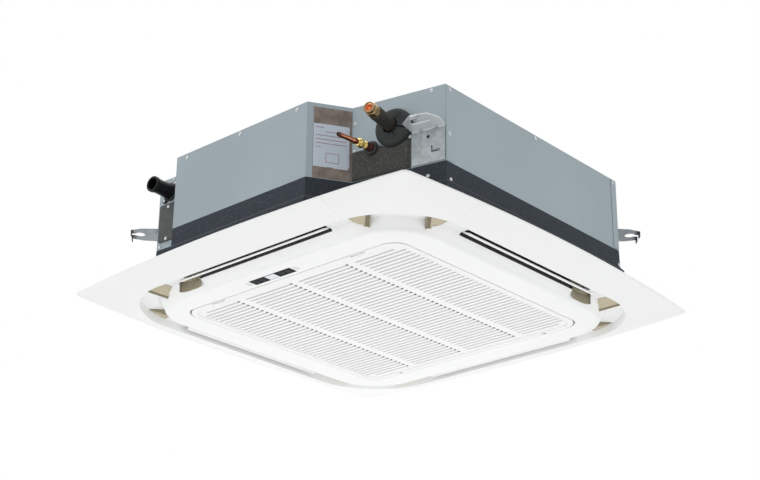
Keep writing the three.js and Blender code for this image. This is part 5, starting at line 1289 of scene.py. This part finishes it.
# %% A soft sheet on a wall
def soft_sheet(width, height, back, front, grain=4.0, edge=3.0, ripple=0.4, seed=0.0):
    """A closed sheet from y = back to y = front, rounded at its edges and gently uneven."""
    columns, rows = max(2, round(width / grain)), max(2, round(height / grain))
    stride = columns + 1
    points, faces = [], []
    for face in (0, 1):
        for j in range(rows + 1):
            for i in range(stride):
                x, z = width * i / columns, height * j / rows
                inside = min(1.0, min(x, width - x, z, height - z) / edge)
                wave = noise.noise(Vector((x / 17 + seed, z / 17, seed))) * ripple * inside
                swell = math.sqrt(inside) * 0.6 + 0.4
                points.append((x, back + face * ((front - back) * swell + wave), z))
    count = (rows + 1) * stride
    for j in range(rows):
        for i in range(columns):
            a = j * stride + i
            corner = (a, a + 1, a + stride + 1, a + stride)
            faces += [corner[::-1], tuple(v + count for v in corner)]
    loop = [i for i in range(columns)] + [columns + j * stride for j in range(rows)]
    loop += [rows * stride + i for i in range(columns, 0, -1)]
    loop += [j * stride for j in range(rows, 0, -1)]
    for a, b in zip(loop, loop[1:] + loop[:1]):
        faces.append((a, b, b + count, a + count))
    return Form(points, faces)


def hole(radius, foot, top, steps=32):
    """A round cutter along Z."""
    return lathe([(0, foot), (radius, foot), (radius, top), (0, top)], steps)


# Along and up the pipe wall.
BOSS_AT = (93, 171)
GAS_AT = (88, 176)
LIQUID_AT = (46, 139)

sheet = soft_sheet(124, 60, 0.3, 5.3).at(2, 0, CASING_FOOT + 1)
sponge = mesh_object("pipe_sponge", sheet.moved(PIPE_WALL.frame()))
for place, radius in ((BOSS_AT, 40), (LIQUID_AT, 12)):
    carve(sponge, hole(radius, -5, 30, 64).moved(PIPE_WALL.axis(*place)))
dress(sponge, WALL_SPONGE, "unit", stands_for=["pipe_foam"])

# %% Kraft paper with a blank ruled label
LABEL_X, LABEL_FOOT = 13.4, 105
LINE_PITCH, LINE_TOP = 8.2, 82
LINES = [(4, 20), (24, 60), (4, 64), (4, 64), (4, 64), (4, 14)]
FRAME_BARS = [(24, 50, 10, 10.8), (24, 50, 29, 29.8), (24, 24.8, 10, 29.8), (49.2, 50, 10, 29.8)]


def on_label(form):
    return form.moved(LABEL_WALL.frame())


paper = soft_sheet(75.6, 148, 0.1, 0.8, grain=3.0, edge=1.0, ripple=0.35, seed=4.0)
piece("kraft_patch", on_label(paper.at(12.8, 0, 82)), KRAFT, "unit", sharp=60)
label = on_label(soft_sheet(70, 90, 0.5, 1.5, grain=5.0, edge=1.0, ripple=0.1, seed=9.0).at(
    LABEL_X, 0, LABEL_FOOT))
piece("blank_label_sheet", label, LABEL, "unit", sharp=60)
bars = [(start, stop, LINE_TOP - LINE_PITCH * row - 0.5, LINE_TOP - LINE_PITCH * row + 0.5)
        for row, (start, stop) in enumerate(LINES)] + FRAME_BARS
rules = Form()
for x0, x1, z0, z1 in bars:
    rules += block(LABEL_X + x0, LABEL_X + x1, 1.4, 1.75, LABEL_FOOT + z0, LABEL_FOOT + z1)
piece("label_ruling", on_label(rules), RULE_RED, "unit")
print("sponge, paper and label on the corner walls")

# %% [markdown]
# ## Pipes and flare nuts
# Two copper pipes leave the corner. The thick one wears a foam sleeve and a split foam boss;
# the thin one passes through a rubber grommet. A flare nut is a hexagon whose corners are cut
# by a cone: the ring radius is the smaller of the hexagon's reach and the cone's, which draws
# the curved chamfer lines of a real nut.

# %% Nuts and threads
def hex_nut(radius, bore, start, stop):
    """A hexagon nut along Z with coned corners and a bore, as one hoop of rings."""
    apothem = radius * math.cos(math.pi / 6)
    cone_start = apothem * 0.95
    cone_run = radius * 0.18

    def ring(limit, z):
        points = []
        for i in range(72):
            turn = 2 * math.pi * i / 72
            r = min(apothem / math.cos(turn % (math.pi / 3) - math.pi / 6), limit)
            points.append((r * math.cos(turn), r * math.sin(turn), z))
        return points

    shares = (0.33, 0.66, 1.0)
    rings = [ring(bore, start), ring(cone_start, start)]
    rings += [ring(cone_start + (radius - cone_start) * s, start + cone_run * s) for s in shares]
    rings += [ring(cone_start + (radius - cone_start) * s, stop - cone_run * s)
              for s in shares[::-1]]
    return loft(rings + [ring(cone_start, stop), ring(bore, stop)], hoop=True)


def thread(radius, bore, start, stop, pitch=1.6, depth=0.55):
    """Thread ridges as turned rings."""
    profile = [(bore, start)]
    z = start
    while z < stop - pitch:
        profile += [(radius - depth, z), (radius, z + pitch * 0.35), (radius, z + pitch * 0.55)]
        z += pitch
    return lathe(profile + [(radius - depth, z), (radius - depth, stop), (bore, stop)], 48)


def uneven(form, share, grain):
    """Swells and pinches a turned form a little, as soft rubber does."""
    for p in form.points:
        p += Vector((p.x, p.y, 0)) * share * noise.noise(p / grain)
    return form


# %% Gas pipe, sleeve, boss and nut
GAS = PIPE_WALL.axis(*GAS_AT)
TUBE = [(6.5, 20), (6.5, 88.6), (7.2, 89), (8, 88.4), (8, -42), (0, -42), (0, 19), (6.2, 19.2)]
TUBE_SEAT = [(0, 76), (3.0, 76.4), (6.6, 81), (6.6, 74), (0, 74)]
NUT_FRONT = [(8.2, 83), (10.4, 83), (10.4, 84.2), (11.1, 85), (11.1, 89.4), (10.2, 90.8),
             (8.9, 90.8), (8.2, 90)]
NUT_BACK = [(8.2, 63.4), (10.6, 63.4), (11.2, 64.2), (11.2, 66.8), (10.4, 67.8), (8.2, 68)]
SLEEVE = [(8.3, -32), (13.5, -32), (13.5, 4), (13.2, 12), (13.6, 26), (13.4, 40), (13.7, 54),
          (13.9, 62), (13.3, 65.6), (12.2, 66.8), (11.4, 66), (11.3, 62.9), (8.3, 62.9)]
BOSS = [(0, 0.3), (30, 0.3), (38, 0.3), (38.4, 3), (38, 7.5), (36.5, 10.6), (34, 12.5),
        (30, 13.3), (24, 13.1), (18, 13.4), (12, 13.2), (6, 13.2), (0, 13.2)]

piece("gas_tube", lathe(TUBE, 48).moved(GAS), BRIGHT_COPPER, "unit",
      stands_for=["gas_pipe"])
piece("gas_tube_plug", lathe(TUBE_SEAT, 48).moved(GAS), BRIGHT_COPPER, "unit")
nut = hex_nut(13.5, 8.2, 67.6, 83.5) + lathe(NUT_FRONT, 64) + lathe(NUT_BACK, 64)
piece("gas_flare_nut", nut.moved(GAS), BRASS, "unit", stands_for=["gas_nut"])
sleeve = uneven(lathe(SLEEVE, 56), 0.02, 11)
piece("gas_sleeve", sleeve.moved(GAS), TUBE_SPONGE, "unit", sharp=60,
      stands_for=["gas_insulation"])

boss_form = lathe(BOSS, 72)
for p in boss_form.points:
    if p.z > 2:
        p.z += 0.8 * noise.noise(Vector((p.x / 16, p.y / 16, 3.0)))
boss = mesh_object("gas_boss", boss_form.moved(PIPE_WALL.axis(*BOSS_AT)))
sag = Matrix.Translation((0.5, -2.2, 0))
carve(boss, lathe([(0, -3), (15.4, -3), (15.8, 30), (0, 30)], 48).moved(GAS @ sag))
slit = loft([[(12, -1.6, z), (44, -0.9, z), (44, 0.9, z), (12, 1.6, z)] for z in (3, 30)])
crease = loft([[(14, -0.8, z), (31, -0.3, z), (31, 0.3, z), (14, 0.8, z)] for z in (9, 30)])
carve(boss, slit.turned(-24).moved(GAS))
carve(boss, crease.turned(-66).moved(GAS) + crease.turned(38).moved(GAS))
dress(boss, BOSS_SPONGE, "unit", bevel=0.5, sharp=50)
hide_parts("gas_insulation")

# %% Liquid pipe, its nut and grommet
LIQUID_LEAN = 28 / 88           # how far the thin pipe drifts sideways for each step outwards
LEAN_FROM = 12
LIQUID = PIPE_WALL.axis(*LIQUID_AT)
LEAN = aimed(PIPE_WALL.at(LIQUID_AT[0], LEAN_FROM, LIQUID_AT[1]),
             PIPE_WALL.out - PIPE_WALL.along * LIQUID_LEAN)


def on_liquid(out):
    """Length along the leaning axis for a distance out of the wall."""
    return (out - LEAN_FROM) * math.sqrt(1 + LIQUID_LEAN**2)


def leaning(profile):
    """Turns a profile of (radius, distance out of the wall) into lengths along the pipe."""
    return [(radius, on_liquid(out)) for radius, out in profile]


stub = lathe([(0, -54), (4.8, -54), (4.8, -4), (0, -4)], 40)
stub = stub.moved(LIQUID @ Matrix.Translation((0, 0, LEAN_FROM)))
thin = lathe([(0, -5), (4.8, -4), *leaning([
    (4.8, 45), (5.7, 46), (6.0, 50), (5.6, 54), (4.8, 55), (4.7, 78), (4.9, 79), (4.9, 83),
    (0, 83)])], 40)
piece("liquid_tube", thin.moved(LEAN) + stub, COPPER, "unit", sharp=50,
      stands_for=["liquid_pipe"])
TIP = [(0, 82.9), (4.4, 82.9), (4.3, 85), (3.8, 87.4), (3.2, 88), (2.4, 86), (0, 85.5)]
piece("liquid_tube_tip", lathe(leaning(TIP), 40).moved(LEAN), DARK_COPPER, "unit")
NUT_SHOULDER = [(5.0, 38), (7.4, 38), (7.6, 39), (7.4, 41.2), (6.2, 42), (5.0, 42)]
small = hex_nut(9, 5.0, on_liquid(29.2), on_liquid(38)) + lathe(leaning(NUT_SHOULDER), 48)
small += thread(7.2, 5.0, on_liquid(22.4), on_liquid(29.4))
piece("liquid_flare_nut", small.moved(LEAN), GILT_BRASS, "unit",
      stands_for=["liquid_nut"])
COLLAR = [(5.0, 18), (7.8, 18), (8.4, 19), (8.4, 21.6), (7.6, 22.6), (5.0, 22.6)]
collar = lathe(leaning(COLLAR), 48)
piece("liquid_valve_collar", collar.moved(LEAN), DARK_COPPER, "unit")
wrap = lathe([(4.9, -2), (6.6, -2), (6.8, 2), *leaning([(6.6, 18.1), (4.9, 18.1)])], 40)
piece("liquid_sleeve", wrap.moved(LEAN), RED_SLEEVE, "unit")
GROMMET = [(5.4, 0.3), (11.4, 0.3), (11.6, 4.6), (13.8, 5.7), (14.4, 7.4), (13.6, 9.6),
           (11.2, 11), (8.2, 11.2), (6.8, 10.2), (5.4, 8.6)]
grommet = uneven(lathe(GROMMET, 56), 0.05, 7)
piece("liquid_grommet_ring", grommet.moved(LIQUID), GROMMET_RUBBER, "unit",
      sharp=60, stands_for=["liquid_grommet"])
print("gas pipe", GAS_AT, "liquid pipe", LIQUID_AT, "along and up the pipe wall")

# %% [markdown]
# ## Hangers
# Each corner has a folded steel hanger: a plate on the wall, a tab bent out of its top, and a
# slot in the tab for the threaded rod. Rounded bends catch a bright line, so every edge gets a
# small bevel, and the bend has pressed gussets. Three hangers share one form.

# %% Parts that all hangers share
HANGER_START = 130.0            # the near hanger's place along the pipe wall
HANGER_WIDTH = 68
HANGER_TOP = 154.0
TAB_FOOT = 152
PLATE_FOOT = 83.0
PLATE_BACK, PLATE_FACE = 0.3, 2.3
HOLE_AT = (34, 136)
CUT = (140, 160)                # heights between which cutters pass through the tab


def gusset(x):
    """A pressed bump in the bend between plate and tab."""
    profile = [(math.sin(math.pi * i / 10), -math.cos(math.pi * i / 10)) for i in range(11)]
    place = Matrix.Translation((x, 3.2, 150.5))
    return lathe(profile, 20).moved(place @ Matrix.Diagonal((3.4, 5.5, 4.2, 1)))


def flat(outline, z0, z1):
    return loft([[(x, y, z) for x, y in outline] for z in (z0, z1)])


def wall_plate(name):
    """The upright plate, with its round hole."""
    plate = mesh_object(name, block(0, HANGER_WIDTH, PLATE_BACK, PLATE_FACE, PLATE_FOOT,
                                    HANGER_TOP - 0.1))
    return carve(plate, hole(3.5, -6, 6).turned(-90, "X").at(HOLE_AT[0], 1, HOLE_AT[1]))


# %% The near hanger, with a closed slot
near = wall_plate("hanger_near_folded")
carve(near, block(40, 42.4, -1, 4, 103, 117))
carve(near, block(42.3, 56, -1, 4, 103, 105.2))
SLOT_X, SLOT_Y, SLOT_R = (21, 49), 35, 5.5
outline = [(0, 0.3), (1, 40), (27, 62), (60, 57), (73, 33), (68, 0.3)]
shelf = mesh_object("shelf", flat(outline, TAB_FOOT, HANGER_TOP))
carve(shelf, block(*SLOT_X, SLOT_Y - SLOT_R, SLOT_Y + SLOT_R, *CUT))
for x in SLOT_X:
    carve(shelf, hole(SLOT_R, *CUT).at(x, SLOT_Y, 0))
# The way in for the rod, cut slantwise from the edge to the slot's end.
side = Vector((0.809, -0.588)) * SLOT_R
inner, outer = Vector((SLOT_X[0], SLOT_Y)), Vector((40, 61.2))
way = [inner - side, inner + side, outer + side, outer - side]
carve(shelf, flat([tuple(p) for p in way], *CUT))
folded = form_of(near) + form_of(shelf) + block(28, 42, 59.4, 61.4, 144, 153.5)
folded += gusset(16.8) + gusset(48.8) + block(43, 57, 2.2, 4.6, 105.6, 107.4)
piece("hanger_near_bracket", folded.moved(PIPE_WALL.frame(HANGER_START)), HANGER_ZINC, "unit",
      bevel=0.5, stands_for=["hanger_near"])

# %% Three plain hangers, open at the end
plain = wall_plate("hanger_plate")
outline = [(2, 0.3), (4, 38.4), (13, 62), (55, 62), (64, 38.4), (66, 0.3)]
open_tab = mesh_object("open_tab", flat(outline, TAB_FOOT, HANGER_TOP))
carve(open_tab, hole(11, *CUT, 40).at(34, 44, 0))
carve(open_tab, block(28.5, 39.5, 44, 70, *CUT))
plain_form = form_of(plain) + form_of(open_tab)
for x0, x1 in ((14.3, 26.8), (41.2, 53.7)):
    plain_form += block(x0, x1, 59.8, 61.8, 143, 153.8)
plain_form += gusset(14) + gusset(54)
for name, wall in (("hanger_left", LEFT_WALL), ("hanger_right", RIGHT_WALL),
                   ("hanger_far", FAR_WALL)):
    form = plain_form.moved(wall.frame((wall.length - HANGER_WIDTH) / 2))
    piece(name + "_bracket", form, HOOK_ZINC, "unit", bevel=0.5, stands_for=[name])
shades = hole(5, 0.05, 0.25, 24).moved(PIPE_WALL.axis(HANGER_START + HOLE_AT[0], HOLE_AT[1]))
shades += block(38, 60, 0.05, 0.25, 101, 119).moved(PIPE_WALL.frame(HANGER_START))
piece("hanger_hole_shades", shades, SLOT_SHADE, "unit")
print("hangers: one slotted, three open")

# %% [markdown]
# ## Drain corner
# The drain socket is a black moulded spout on a flange with two screw lugs, stiffened by four
# gussets: one turned profile, with the gussets and lugs added round it. Below it a dark plate
# closes the hand hole of the pump.

# %% Drain socket
DRAIN_AT = (33, 205)            # along and up the drain wall
DRAIN = DRAIN_WALL.axis(*DRAIN_AT)
SPOUT = [(12.5, -12), (13.5, -12), (13.5, 0.3), (20, 0.3), (20, 3.6), (19.2, 4.4), (17.4, 5),
         (16.4, 8), (15.8, 16), (15.4, 30), (15.3, 44), (15.8, 45), (17, 46.4), (17, 52.6),
         (16.4, 54), (13.4, 54), (12.6, 53.2)]
GUSSET = [(13, 4), (19, 4), (19, 4.8), (15, 26), (13, 26)]
GUSSET_HALF = 1.1
LUGS = ((-15.5, -16), (12.6, 15.6))

spout = lathe(SPOUT, 64)
for turn in (90, 180, 270, 360):
    rib = loft([[(x, y, z) for x, z in GUSSET] for y in (-GUSSET_HALF, GUSSET_HALF)])
    spout += rib.turned(turn)
lug_disc = lathe([(0, 0.3), (6.2, 0.3), (6.2, 3.4), (5.6, 4), (0, 4)], 32)
lug_web = block(-5.4, 5.4, -5.4, 5.4, 0.3, 3.6).turned(45)
lug_screws = Form()
for turn, (x, y) in zip((0, 30), LUGS):
    spout += lug_disc.at(x, y, 0) + lug_web.at(x * 0.8, y * 0.8, 0)
    lug_screws += SCREW.turned(turn).at(x, y, 4)
piece("drain_spout", spout.moved(DRAIN), BLACK_RUBBER, "unit", bevel=0.25,
      sharp=40, stands_for=["drain_socket"])
piece("drain_screws", lug_screws.moved(DRAIN), SCREW_STEEL, "unit", sharp=35)

# %% [markdown]
# ## Drain hose
# The hose is soft grey vinyl. It leaves the pump's shoulder, climbs inside the casing and
# turns into the socket, where a thicker cuff grips the spigot. A smooth Catmull-Rom line
# through the route's points, swept with a round section, gives bends that a chain of
# straight lengths does not have.

# %% Drain hose and cuff
HOSE_R, CUFF_R, CUFF_LENGTH = 8.0, 13.0, 9.0
PUMP_OUTLET = (-292, -320, 133.3)
HOSE_TURN = (-280, -330, 138)
SPIGOT_END = -12.3
HOSE_RISE = [(-34, 157), (-34, 187), (-31, 198), (SPIGOT_END - 11, 205), (SPIGOT_END - 1, 205)]


def smooth_line(stops, steps=7):
    """A Catmull-Rom curve through the stops."""
    line = []
    padded = [stops[0] * 2 - stops[1], *stops, stops[-1] * 2 - stops[-2]]
    for a, b, c, d in zip(padded, padded[1:], padded[2:], padded[3:]):
        for i in range(steps):
            t = i / steps
            line.append(0.5 * (2 * b + (c - a) * t + (2 * a - 5 * b + 4 * c - d) * t ** 2
                               + (3 * b - a - 3 * c + d) * t ** 3))
    return line + [stops[-1]]


def swept(line, radius, around=20):
    """A round section carried along a line without twist."""
    rings = []
    side = Vector((1, 0, 0))
    for i, place in enumerate(line):
        ahead = (line[min(i + 1, len(line) - 1)] - line[max(i - 1, 0)]).normalized()
        side = (side - ahead * side.dot(ahead)).normalized()
        up = ahead.cross(side)
        turns = [2 * math.pi * k / around for k in range(around)]
        rings.append([place + (side * math.cos(t) + up * math.sin(t)) * radius for t in turns])
    return loft(rings)


rise = [DRAIN_WALL.at(DRAIN_AT[0], out, z) for out, z in HOSE_RISE]
hose = swept(smooth_line([Vector(PUMP_OUTLET), Vector(HOSE_TURN), *rise]), HOSE_R)
cuff_profile = [(7.6, -CUFF_LENGTH), (CUFF_R - 1, -CUFF_LENGTH), (CUFF_R, 1 - CUFF_LENGTH),
                (CUFF_R, -1), (CUFF_R - 1, 0), (7.6, 0)]
cuff = lathe([(r, SPIGOT_END + z) for r, z in cuff_profile])
piece("drain_hose_vinyl", hose + cuff.moved(DRAIN), HOSE_VINYL, "unit", sharp=50,
      stands_for=["drain_hose"])

# %% Pump cover
HATCH = (5, 62, 96, 179)        # along the wall, then up it
HATCH_THICKNESS = 3.2

hatch = rounded_bar(*HATCH, PLATE_BACK, HATCH_THICKNESS, 4)
# The bar was drawn lying down: stand it up with its softened edge outwards.
hatch = Form([(p.x, PLATE_BACK + HATCH_THICKNESS - p.z, p.y) for p in hatch.points], hatch.faces)
piece("pump_hatch", hatch.moved(DRAIN_WALL.frame()), DARK_PLATE, "unit",
      stands_for=["pump_cover"])
hatch_screws = Form()
for along, z in ((30.8, 172.5), (28.8, 101), (56, 137)):
    seat = DRAIN_WALL.axis(along, z) @ Matrix.Translation((0, 0, HATCH_THICKNESS - 0.1))
    hatch_screws += SCREW.turned(along * 3).moved(seat)
piece("hatch_screws", hatch_screws, SCREW_STEEL, "unit", sharp=35)
